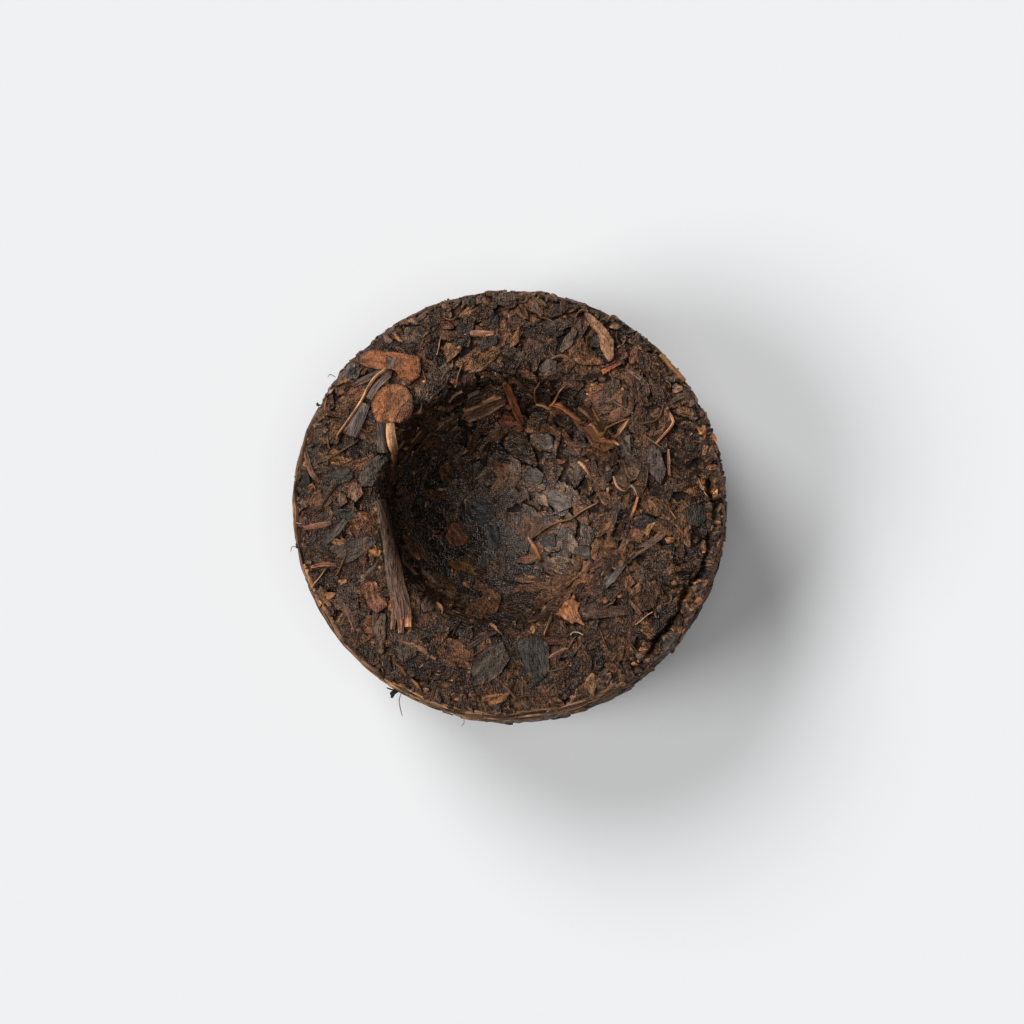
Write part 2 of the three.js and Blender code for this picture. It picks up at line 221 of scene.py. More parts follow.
def tea_finish(name, roughness, shine, wrinkle, stretch, relief, furrow_painted_shade, fray_and_highlight, border=0.9):
    """Fermented tea leaf, steamed, pressed in cloth and dried. To the eye it is a dull waxy brown with sharp
    wrinkles drawn out along the leaf, a mottle, the cloth's print and torn edges frayed to tan. Painted shade
    darkens its furrows and turned-down edge, painted light brightens its crests, and the frayed edge is
    partly a painted highlight. Shine is its specular level, relief the depth of its wrinkles in mm, and
    border where the painted shade of its edge begins."""
    material = bpy.data.materials.new(name)
    material.use_nodes = True
    tree = material.node_tree
    tree.nodes.clear()
    grain = add_node(tree, "ShaderNodeAttribute", attribute_name="leaf_grain").outputs["Vector"]
    tint = add_node(tree, "ShaderNodeAttribute", attribute_name="leaf_tint_and_painted_light").outputs["Color"]
    edge = add_node(tree, "ShaderNodeAttribute", attribute_name="leaf_edge").outputs["Fac"]
    pressed = add_node(tree, "ShaderNodeAttribute", attribute_name="knot_pressing").outputs["Fac"]
    place = add_node(tree, "ShaderNodeTexCoord").outputs["Object"]

    drawn_out = add_node(tree, "ShaderNodeMapping", {
        "Vector": grain, "Scale": (stretch / wrinkle, 1 / wrinkle, 1)})
    folds = add_node(tree, "ShaderNodeTexNoise", {
        "Vector": drawn_out.outputs["Vector"], "Scale": 1, "Detail": 2, "Roughness": 0.5, "Distortion": 0.6})
    fold = add_node(tree, "ShaderNodeMath", {0: folds.outputs["Fac"], 1: FOLD_STEP}, operation="PINGPONG")
    fold_height = add_node(tree, "ShaderNodeMath", {
        0: fold.outputs["Value"], 1: FOLD_SHARE / FOLD_STEP}, operation="MULTIPLY")
    fibres = add_node(tree, "ShaderNodeMapping", {
        "Vector": grain, "Scale": (stretch / CRACKLE, 1 / CRACKLE, 1)})
    crackles = add_node(tree, "ShaderNodeTexNoise", {
        "Vector": fibres.outputs["Vector"], "Scale": 1, "Detail": 2, "Distortion": 0.4})
    crackle = add_node(tree, "ShaderNodeMath", {
        0: crackles.outputs["Fac"], 1: CRACKLE_STEP}, operation="PINGPONG")
    wrinkled = add_node(tree, "ShaderNodeMath", {
        0: crackle.outputs["Value"], 1: -CRACKLE_SHARE / CRACKLE_STEP, 2: fold_height.outputs["Value"]},
        operation="MULTIPLY_ADD")

    thread_scale = 2 * math.pi / (CLOTH_THREAD * MM)
    pulled = add_node(tree, "ShaderNodeVectorMath", {
        0: folds.outputs["Color"], 1: (CLOTH_PULL * MM, CLOTH_PULL * MM, CLOTH_PULL * MM), 2: place},
        operation="MULTIPLY_ADD")
    threads = add_node(tree, "ShaderNodeMapping", {
        "Vector": pulled.outputs["Vector"], "Rotation": CLOTH_TURN,
        "Scale": (thread_scale, thread_scale, thread_scale)})
    waves = add_node(tree, "ShaderNodeVectorMath", {0: threads.outputs["Vector"]}, operation="SINE")
    wave = add_node(tree, "ShaderNodeSeparateXYZ", {0: waves.outputs["Vector"]})
    print_height = add_node(tree, "ShaderNodeMath", {
        0: wave.outputs["X"], 1: wave.outputs["Y"]}, operation="MULTIPLY")
    print_depth = add_node(tree, "ShaderNodeMapRange", {
        "Value": pressed, "To Min": CLOTH_PRINT, "To Max": KNOT_PRINT})
    height = add_node(tree, "ShaderNodeMath", {
        0: print_height.outputs["Value"], 1: print_depth.outputs["Result"], 2: wrinkled.outputs["Value"]},
        operation="MULTIPLY_ADD")

    # Painted shade in the furrows and painted light on the crests
    furrow = add_node(tree, "ShaderNodeMapRange", {
        "Value": height.outputs["Value"], "From Min": FURROW_RANGE[0], "From Max": FURROW_RANGE[1],
        "To Min": furrow_painted_shade, "To Max": CREST_PAINTED_LIGHT})
    mottle = add_node(tree, "ShaderNodeTexNoise", {
        "Vector": grain, "Scale": 1 / MOTTLE, "Detail": 3, "Roughness": 0.6})
    shade = add_node(tree, "ShaderNodeMapRange", {
        "Value": mottle.outputs["Fac"], "From Min": MOTTLE_RANGE[0], "From Max": MOTTLE_RANGE[1],
        "To Min": MOTTLE_SHADES[0], "To Max": MOTTLE_SHADES[1]})
    marked = add_node(tree, "ShaderNodeMath", {
        0: shade.outputs["Result"], 1: furrow.outputs["Result"]}, operation="MULTIPLY")
    # Painted shade: each leaf darkens towards its turned-down edge, and its skirt is painted darkest
    turned_down = add_node(tree, "ShaderNodeMapRange", {
        "Value": edge, "From Min": border, "From Max": EDGE_END, "To Min": 1, "To Max": EDGE_PAINTED_SHADE})
    darkness = add_node(tree, "ShaderNodeMath", {
        0: marked.outputs["Value"], 1: turned_down.outputs["Result"]}, operation="MULTIPLY")
    toned = add_node(tree, "ShaderNodeVectorMath", {
        0: tint, "Scale": darkness.outputs["Value"]}, operation="SCALE")

    # Frayed edges turn tan, partly as a painted highlight along the leaf edges
    ring = add_node(tree, "ShaderNodeMapRange", {
        "Value": edge, "From Min": FRAY_AND_HIGHLIGHT_RING[0], "From Max": FRAY_AND_HIGHLIGHT_RING[1], "To Min": 0, "To Max": 1})
    frayed = add_node(tree, "ShaderNodeMapRange", {
        "Value": mottle.outputs["Fac"], "From Min": FRAY_AND_HIGHLIGHT_PATCHES[0], "From Max": FRAY_AND_HIGHLIGHT_PATCHES[1],
        "To Min": 0, "To Max": fray_and_highlight})
    worn_and_lit_share = add_node(tree, "ShaderNodeMath", {
        0: ring.outputs["Result"], 1: frayed.outputs["Result"]}, operation="MULTIPLY")
    lit_edge = add_node(tree, "ShaderNodeVectorMath", {
        0: tuple(linear(TORN_AND_LIT_EDGE)), "Scale": marked.outputs["Value"]}, operation="SCALE")
    colour = add_node(tree, "ShaderNodeMix", {
        "Factor": worn_and_lit_share.outputs["Value"], "A": toned.outputs["Vector"], "B": lit_edge.outputs["Vector"]},
        data_type="RGBA")

    sharpness = add_node(tree, "ShaderNodeMapRange", {
        "Value": pressed, "To Min": 1, "To Max": KNOT_FLATTENING})
    bump = add_node(tree, "ShaderNodeBump", {
        "Height": height.outputs["Value"], "Distance": relief * MM, "Strength": sharpness.outputs["Result"]})
    gloss = add_node(tree, "ShaderNodeMapRange", {
        "Value": mottle.outputs["Fac"], "From Min": MOTTLE_RANGE[0], "From Max": MOTTLE_RANGE[1],
        "To Min": roughness + MOTTLE_GLOSS[0], "To Max": roughness + MOTTLE_GLOSS[1]})
    polished = add_node(tree, "ShaderNodeMath", {
        0: pressed, 1: -KNOT_GLOSS, 2: gloss.outputs["Result"]}, operation="MULTIPLY_ADD")
    leaf = add_node(tree, "ShaderNodeBsdfPrincipled", {
        "Base Color": colour.outputs["Result"], "Roughness": polished.outputs["Value"],
        "Normal": bump.outputs["Normal"], "IOR": LEAF_IOR, "Specular IOR Level": shine})
    add_node(tree, "ShaderNodeOutputMaterial", {"Surface": leaf.outputs["BSDF"]})
    return material


def grid_quads(rows, columns):
    """Corner numbers of the quads of a grid of points, row by row."""
    first = (np.arange(rows - 1)[:, None] * columns + np.arange(columns - 1)).ravel()
    return np.column_stack((first, first + columns, first + columns + 1, first + 1))


FLOOR_LEVEL = HEIGHT - HOLLOW_DEPTH
FLOOR_UNDERSIDE = 2  # leaf this far under the floor still belongs to it
FADE_TOP = 11.7  # the floor's smooth pressing is gone this far up the hollow's wall
FADE_HEIGHT = 9
WALL_PAINTED_SHADE = 0.6  # painted shade on the hollow's left wall, which the light does not reach
WALL_SHADE_FROM, WALL_SHADE_FADE = 11, 6  # the radius where it begins, and mm until it is darkest
LEFT_FROM, LEFT_FADE = 0.55, 0.3  # how far a place must point to the left, from 0 to 1
FLOOR_PAINTED_SHEEN = 0.6  # painted sheen at the right of the hollow's floor, where the windows reflect off the smooth leaf
SHEEN_SIDE = math.radians(42)
SHEEN_FADE = 6
# Painted shade in the crack
CRACK_PAINTED_SHADE = 0.95
PALE_RIM = 0.22  # the outside is paler leaf than the hollow
# Painted light: the far side, facing the window behind, is painted paler
FAR_PAINTED_LIGHT = 0.2
FAR_SIDE = math.radians(85)


def knot_pressing(points):
    """How smooth the bag's knot pressed each place: fully on the hollow's floor, less up its wall."""
    climb = points[:, 2] - FLOOR_LEVEL
    inside = (np.hypot(points[:, 0], points[:, 1]) < HOLLOW_RADIUS) & (climb > -FLOOR_UNDERSIDE)
    return np.where(inside, np.clip((FADE_TOP - climb) / FADE_HEIGHT, 0, 1), 0)


def leaf_tone_and_painted_light(points):
    """How pale or dark each place is painted. The crack and the hollow's left wall get painted shade, the
    right of the hollow's floor a painted sheen and the far side painted light; the outside is also paler
    leaf."""
    radius = np.hypot(points[:, 0], points[:, 1])
    angle = np.arctan2(points[:, 1], points[:, 0])
    inside = (points[:, 2] > FLOOR_LEVEL) & (points[:, 2] < HEIGHT - LIP_HEIGHT) & (radius < HOLLOW_RADIUS)
    leftness = np.clip((-np.cos(angle) - LEFT_FROM) / LEFT_FADE, 0, 1)
    # Painted shade on the left wall, painted sheen on the floor, paler outside with painted light far off,
    # painted shade in the crack
    wall = 1 - WALL_PAINTED_SHADE * inside * leftness * np.clip((radius - WALL_SHADE_FROM) / WALL_SHADE_FADE, 0, 1)
    rightness = np.cos(angle - SHEEN_SIDE) * np.clip(radius / SHEEN_FADE, 0, 1)
    floor = 1 + FLOOR_PAINTED_SHEEN * knot_pressing(points) * rightness
    on_top = points[:, 2] > HEIGHT - SHOULDER_DROP - SHOULDER_HEIGHT - CRACK_DEPTH
    depth = np.sqrt(crack(np.interp(radius, TOP_RADIUS, TOP_ARC), angle) / CRACK_DEPTH)
    outside = np.clip((radius - HOLLOW_RADIUS) / (LIP_RADIUS - HOLLOW_RADIUS), 0, 1)
    rim = 1 + outside * (PALE_RIM + FAR_PAINTED_LIGHT * np.cos(angle - FAR_SIDE))
    return wall * floor * rim * (1 - CRACK_PAINTED_SHADE * on_top * depth)


LEAF_VALUES = {"leaf_grain": ("FLOAT_VECTOR", "vector"), "leaf_tint_and_painted_light": ("FLOAT_COLOR", "color"),
               "leaf_edge": ("FLOAT", "value"), "knot_pressing": ("FLOAT", "value")}
SHARP_ANGLE = math.radians(48)


def tea_piece(name, parts, material):
    """One mesh piece of many alike. Each part holds the corners, grain, tint, edge and quads of some."""
    corners = []
    quads = []
    values = {"leaf_grain": [], "leaf_tint_and_painted_light": [], "leaf_edge": []}
    used = 0
    for part in parts:
        many, each, _ = part["corners"].shape
        corners.append(part["corners"].reshape(-1, 3))
        quads.append((part["quads"] + each * np.arange(many)[:, None, None]).reshape(-1, 4) + used)
        used += many * each
        tint = np.broadcast_to(part["tint"], (many, each, 3))
        values["leaf_grain"].append(part["grain"].reshape(-1, 3))
        values["leaf_tint_and_painted_light"].append(np.concatenate((tint, np.ones((many, each, 1))), axis=2).reshape(-1, 4))
        values["leaf_edge"].append(part["edge"].reshape(-1, 1))
    places = np.vstack(corners)
    values = {attribute: np.vstack(listed) for attribute, listed in values.items()}
    # The tints carry the leaf's own tone times the painted light and shade of each place
    values["leaf_tint_and_painted_light"] = values["leaf_tint_and_painted_light"] * leaf_tone_and_painted_light(places)[:, None]
    values["knot_pressing"] = knot_pressing(places)
    mesh = bpy.data.meshes.new(name)
    mesh.from_pydata(places * MM, [], np.vstack(quads))
    for attribute, (kind, field) in LEAF_VALUES.items():
        layer = mesh.attributes.new(attribute, kind, "POINT")
        layer.data.foreach_set(field, values[attribute].astype(np.float32).ravel())
    mesh.polygons.foreach_set("use_smooth", np.ones(len(mesh.polygons), bool))
    mesh.set_sharp_from_angle(angle=SHARP_ANGLE)
    mesh.materials.append(material)
    piece = bpy.data.objects.new(name, mesh)
    bpy.context.scene.collection.objects.link(piece)
    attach(piece, "root")
    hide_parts("tea_cake")
    return piece


BODY_AROUND = 320
BODY_STEP = 0.8
# The body is painted nearly black, partly as painted shade for the gaps between the leaves
BODY_AND_GAP_SHADE_COLOUR = "#24160f"
BODY_RELIEF = 0.2
BODY_BUMPS = ((2.4, 1.0), (1.1, 0.6))  # mm from bump to bump, and their share of the relief
BODY_SINK = 0.55
BODY_EDGE = 0.9  # dust is broken all over, so it frays as a leaf does near its edge

body_rows = int(ARC[-1] / BODY_STEP)
body_arc = np.linspace(0, ARC[-1], body_rows)[:, None]
body_angle = np.linspace(0, 2 * math.pi, BODY_AROUND + 1)
body_smooth = lifted(body_arc, body_angle, 0)
body_lift = BODY_RELIEF * sum(share * ripple(body_smooth, apart) for apart, share in BODY_BUMPS) - BODY_SINK
body_lift[:, -1] = body_lift[:, 0]
body_corners = lifted(body_arc, body_angle, body_lift)

# Leaf dust is dull and nearly black, partly painted shade for the gaps between leaves, with paler specks of
# broken leaf
dust_and_gap_shade = tea_finish("dust_and_gap_shade", roughness=0.7, shine=0.3, wrinkle=1.0, stretch=0.6, relief=0.16,
                       furrow_painted_shade=0.15, fray_and_highlight=0.5)
tea_piece("pressed_body", [{
    "corners": body_corners.reshape(1, -1, 3),
    "quads": grid_quads(body_rows, BODY_AROUND + 1)[:, ::-1],
    "grain": body_corners,
    "tint": linear(BODY_AND_GAP_SHADE_COLOUR),
    "edge": np.full(body_lift.size, BODY_EDGE),
}], dust_and_gap_shade)

# The leaf fragments
# Tea leaves broke as they were rolled, piled and pressed, and lie flat on each other like scales in a crust.
# They are fermented leaf in browns from black to rust, each wrinkled along its length, with ragged edges.

LEAF_SIZES = (
    {"count": 520, "length": (7.0, 13.0), "slim": (1.3, 2.2), "grid": (18, 11), "lift": (-0.2, 0.3),
     "crumple": 0.24, "bright": 0.15},
    {"count": 1000, "length": (4.0, 8.0), "slim": (1.3, 2.8), "grid": (11, 7), "lift": (-0.1, 0.45),
     "crumple": 0.2, "bright": 0.6},
    {"count": 700, "length": (1.3, 3.4), "slim": (1.2, 3.2), "grid": (6, 4), "lift": (-0.05, 0.5),
     "crumple": 0.14, "bright": 1.8},
)
# A kind's furrow setting is how dark the painted shade in its furrows is
LEAF_KINDS = {
    "black_leaves": {"tints": ("#40291b", "#352317", "#48301f"), "share": 0.33, "roughness": 0.36,
                     "shine": 0.65, "wrinkle": 2.4, "furrow_painted_shade": 0.25},
    "brown_leaves": {"tints": ("#593925", "#664429", "#50331f"), "share": 0.31, "roughness": 0.4,
                     "shine": 0.6, "wrinkle": 2.2, "furrow_painted_shade": 0.28},
    "slate_leaves": {"tints": ("#483629", "#523e2e", "#403026"), "share": 0.15, "roughness": 0.36,
                     "shine": 0.65, "wrinkle": 2.8, "furrow_painted_shade": 0.35},
    "russet_leaves": {"tints": ("#66422c", "#5c3a27", "#724a31"), "share": 0.16, "roughness": 0.45,
                      "shine": 0.5, "wrinkle": 2.0, "furrow_painted_shade": 0.32},
    "tan_leaves": {"tints": ("#8a6244", "#966a47", "#80593e", "#9a6845"), "share": 0.05, "roughness": 0.62,
                   "shine": 0.3, "wrinkle": 1.2, "furrow_painted_shade": 0.4},
}
GOLDEN_ANGLE = math.pi * (3 - math.sqrt(5))
SPOT_STEPS = 2000
SPOT_SPREAD = (0.1, 0.9)  # of a spot's own share of the area, where it may lie
SPOT_SWING = 0.04
SKIRT = 0.85  # a torn edge turns down this far to what lies under it
FLARE = 0.2  # and spreads this far
SKIRT_EDGE = 1.1  # in shares of a leaf's reach, beyond the edge's darkest point, so the skirt is painted in full edge shade
LEAF_DOME = 0.45  # its edges bend down by this many times its crumpling
LEAF_TILT = 0.8  # and it tilts by about as much
TEARS = 5
TEAR_SWING = 0.45
TEAR_REACH = (0.62, 1.0)
POINT_REACH = 1.35  # no torn point reaches further out than this
LEAST_FACING = 0.2  # a tear bounds only the directions that face it by this much
RAGGED = 0.025
FOLD_WIDTHS = (0.9, 1.7)  # mm from fold to fold
FOLD_SWAY, SWAY_RATE = 1.6, 1.1  # folds wander to the side, by radians and at radians for each mm
FOLD_RISE, SWELL_RISE, PUCKER_RISE = 0.6, 0.7, 0.4  # shares of the crumpling
SWELL_RATES = (0.9, 0.8)  # radians for each mm along and across the leaf
PUCKER_RATES = (2.3, -1.7)
PATTERN_REACH = 400  # mm over which the pattern is spread, so that no two leaves show the same piece of it
POINTS_AT_ONCE = 20000


def nearest_arc(points):
    """The length along the section of the body's nearest place to each point."""
    radius = np.hypot(points[..., 0], points[..., 1]).ravel()
    height = points[..., 2].ravel()
    coarse = SECTION[::2]
    found = np.empty(radius.size)
    for start in range(0, radius.size, POINTS_AT_ONCE):
        part = slice(start, start + POINTS_AT_ONCE)
        far = (radius[part, None] - coarse[:, 0]) ** 2 + (height[part, None] - coarse[:, 1]) ** 2
        best = 2 * far.argmin(axis=1)
        ahead = section_way[best]
        out, up = radius[part] - SECTION[best, 0], height[part] - SECTION[best, 1]
        past = out * ahead[:, 0] + up * ahead[:, 1]
        found[part] = ARC[best] + np.clip(past, -SECTION_STEP, SECTION_STEP)
    return found.reshape(points.shape[:-1])


def spread_spots(count, low=0.0, high=ARC[-1]):
    """Arcs and angles spread evenly by area over the body, or over the stretch between two arcs."""
    stretch = np.linspace(low, high, SPOT_STEPS)
    area = np.concatenate(([0], np.cumsum(at_arc(stretch)[0][1:])))
    wanted = (np.arange(count) + draw.uniform(*SPOT_SPREAD, count)) / count * area[-1]
    arc = np.interp(wanted, area, stretch)
    turned = draw.uniform(0, 2 * math.pi) + np.arange(count) * GOLDEN_ANGLE
    return arc, turned + draw.normal(0, SPOT_SWING, count)


def torn_outline(direction, many):
    """Reach of a torn leaf's outline in each direction: a few straight tears at uneven distances."""
    tears = (np.arange(TEARS) + draw.uniform(-TEAR_SWING, TEAR_SWING, (many, TEARS))) * 2 * math.pi / TEARS
    distance = draw.uniform(*TEAR_REACH, (many, TEARS))
    facing = np.cos(direction[None, :, None] - tears[:, None, :])
    reach = (distance[:, None, :] / np.maximum(facing, LEAST_FACING)).min(axis=2)
    return np.minimum(reach, POINT_REACH) * (1 + draw.normal(0, RAGGED, reach.shape))


def leaf_shapes(outline, length, width, lift, grid, crumple, lie=0.0):
    """Leaves laid out flat, each a crumpled grid with folds along its lie and a skirt turned down round."""
    many = length.size
    rows, columns = grid[0] + 1, grid[1] + 1
    a, b = np.meshgrid(np.linspace(-1, 1, rows), np.linspace(-1, 1, columns), indexing="ij")
    x = (a * np.sqrt(1 - b * b / 2)).ravel()
    y = (b * np.sqrt(1 - a * a / 2)).ravel()
    number = np.arange(rows * columns).reshape(rows, columns)
    border = np.concatenate((number[:-1, 0], number[-1, :-1], number[:0:-1, -1], number[0, :0:-1]))
    reach = outline(np.arctan2(y, x), many)
    along = x * reach * length[:, None] / 2
    over = y * reach * width[:, None] / 2
    folds = draw.uniform(*FOLD_WIDTHS, (many, 1))
    phase = draw.uniform(0, 2 * math.pi, (many, 4, 1))
    lengthwise = along * math.cos(lie) + over * math.sin(lie)
    crosswise = over * math.cos(lie) - along * math.sin(lie)
    sway = FOLD_SWAY * np.sin(lengthwise * SWAY_RATE + phase[:, 0])
    swell = lengthwise * SWELL_RATES[0] + crosswise * SWELL_RATES[1]
    pucker = lengthwise * PUCKER_RATES[0] + crosswise * PUCKER_RATES[1]
    rise = FOLD_RISE * np.sin(crosswise * 2 * math.pi / folds + sway + phase[:, 1])
    rise += SWELL_RISE * np.sin(swell + phase[:, 2])
    rise += PUCKER_RISE * np.sin(pucker + phase[:, 3])
    tilt = draw.normal(0, LEAF_TILT, (many, 2, 1))
    rise += tilt[:, 0] * x + tilt[:, 1] * y
    rise -= LEAF_DOME * (x * x + y * y) ** 2
    height = lift[:, None] + crumple * rise
    skirt = rows * columns + np.arange(border.size)
    round_it = np.column_stack((skirt, np.roll(skirt, -1), np.roll(border, -1), border))
    along = np.concatenate((along, along[:, border] + FLARE * x[border]), axis=1)
    over = np.concatenate((over, over[:, border] + FLARE * y[border]), axis=1)
    apart = draw.uniform(0, PATTERN_REACH, (many, 1)) + np.zeros_like(along)
    edge = np.concatenate((np.hypot(x, y), np.full(border.size, SKIRT_EDGE)))
    return {"along": along, "over": over,
            "height": np.concatenate((height, height[:, border] - SKIRT), axis=1),
            "grain": np.stack((along * math.cos(lie) + over * math.sin(lie) + apart,
                               over * math.cos(lie) - along * math.sin(lie) + apart, apart), axis=-1),
            "edge": np.broadcast_to(edge, along.shape),
            "quads": np.vstack((grid_quads(rows, columns), round_it))}


def settled(shapes, points):
    """A part of shapes let down from points near the body to their own height over it."""
    corners = lifted(nearest_arc(points), np.arctan2(points[..., 1], points[..., 0]), shapes["height"])
    return {"corners": corners, "grain": shapes["grain"], "edge": shapes["edge"], "quads": shapes["quads"]}


def laid(shapes, arc, angle, turn):
    """Shapes pressed onto the body at their spots, each turned in the surface."""
    radius, height, out, up = at_arc(arc)
    cosine, sine, zero = np.cos(angle), np.sin(angle), np.zeros_like(arc)
    place = np.stack((radius * cosine, radius * sine, height), axis=-1)
    normal = np.stack((out * cosine, out * sine, up), axis=-1)
    around = np.stack((-sine, cosine, zero), axis=-1)
    inward = np.cross(normal, around)
    way = np.cos(turn)[:, None] * around + np.sin(turn)[:, None] * inward
    across = np.cross(normal, way)
    ahead = shapes["along"][..., None] * way[:, None]
    aside = shapes["over"][..., None] * across[:, None]
    return settled(shapes, place[:, None] + ahead + aside)


def pick(part, chosen, tint):
    """The chosen ones of a part, with their tints."""
    kept = {key: part[key][chosen] for key in ("corners", "grain", "edge")}
    return {**kept, "quads": part["quads"], "tint": tint[:, None, :]}


TINT_SPREAD = 0.3


def uneven_tints(hexes, many):
    """A tint for each of many, drawn from a few browns and made a little lighter or darker."""
    palette = np.array([linear(colour) for colour in hexes])
    return palette[draw.integers(len(palette), size=many)] * np.exp(draw.normal(0, TINT_SPREAD, (many, 1)))


FINER = 0.2
FINER_SIDE = math.radians(50)


def finer_to_one_side(angle):
    """The leaf is broken finer at the back right of the cake than at the front left."""
    return 1 - FINER * np.cos(angle - FINER_SIDE)


LIP_ARC = np.interp(-LIP_RADIUS, -SECTION[top_start:, 0], ARC[top_start:])
LAYERS_BELOW = 4  # mm under the dome's top where the wall of leaves on edge begins
LAYERS_PAST = 1  # mm past the start of the shoulder where it ends
WALL_ARCS = (np.interp(DOME_HEIGHT - LAYERS_BELOW, SECTION[:top_start, 1], ARC[:top_start]),
             ARC[top_start + round(LAYERS_PAST / SECTION_STEP)])
WALL_SWING = 0.25  # leaves on the wall lie along it, within about this turn, and are slimmer
WALL_SLIM = 1.5
FLOOR_EDGE = 15  # the radius where the hollow's floor goes over into its wall
FAR_FROM, RIGHT_FROM = 0.5, 0.4  # how far a place must point to the back or right, from 0 to 1
HOLLOW_ODDS = {
    ("floor", "slate_leaves"): 3.5,
    ("floor", "tan_leaves"): 0.1,
    ("far_wall", "russet_leaves"): 2.2,
    ("right", "russet_leaves"): 0.4,
    ("right", "tan_leaves"): 0.3,
}


def kind_odds(arc, angle, bright):
    """How likely each kind of leaf is at each spot. In the hollow there is more slate on the floor, more
    russet on the far wall and less of the paler kinds at the right."""
    odds = np.array([kind["share"] for kind in LEAF_KINDS.values()]) * np.ones((arc.size, 1))
    radius = at_arc(arc)[0]
    in_hollow = arc > LIP_ARC
    where = {
        "floor": in_hollow & (radius < FLOOR_EDGE),
        "far_wall": in_hollow & (radius > FLOOR_EDGE) & (np.sin(angle) > FAR_FROM),
        "right": in_hollow & (np.cos(angle) > RIGHT_FROM),
    }
    names = list(LEAF_KINDS)
    odds[:, names.index("tan_leaves")] *= bright
    odds[:, names.index("russet_leaves")] *= math.sqrt(bright)
    for (place, name), factor in HOLLOW_ODDS.items():
        odds[where[place], names.index(name)] *= factor
    return odds / odds.sum(axis=1)[:, None]


leaf_parts = {name: [] for name in LEAF_KINDS}
for size in LEAF_SIZES:
    arc, angle = spread_spots(size["count"])
    many = arc.size
    on_wall = (arc > WALL_ARCS[0]) & (arc < WALL_ARCS[1])
    turn = np.where(on_wall, draw.normal(0, WALL_SWING, many), draw.uniform(0, math.pi, many))
    slim = draw.uniform(*size["slim"], many) * np.where(on_wall, WALL_SLIM, 1)
    length = draw.uniform(*size["length"], many) * finer_to_one_side(angle)
    flatness = 1 - KNOT_FLATTENING * knot_pressing(lifted(arc, angle, 0))
    shapes = leaf_shapes(torn_outline, length, length / slim, draw.uniform(*size["lift"], many) * flatness,
                         size["grid"], size["crumple"] * flatness[:, None])
    part = laid(shapes, arc, angle, turn)
    reached = kind_odds(arc, angle, size["bright"]).cumsum(axis=1)
    kind_of = (reached < draw.uniform(size=(many, 1))).sum(axis=1)
    for number, (name, kind) in enumerate(LEAF_KINDS.items()):
        chosen = np.flatnonzero(kind_of == number)
        leaf_parts[name].append(pick(part, chosen, uneven_tints(kind["tints"], chosen.size)))

# Dark leaf was pressed smoothest and has the most shine, and tan leaf is dry and dull
for name, kind in LEAF_KINDS.items():
    finish = tea_finish(f"fermented_{name}", kind["roughness"], kind["shine"], kind["wrinkle"], stretch=0.5,
                        relief=0.75, furrow_painted_shade=kind["furrow_painted_shade"], fray_and_highlight=0.6)
    tea_piece(name, leaf_parts[name], finish)
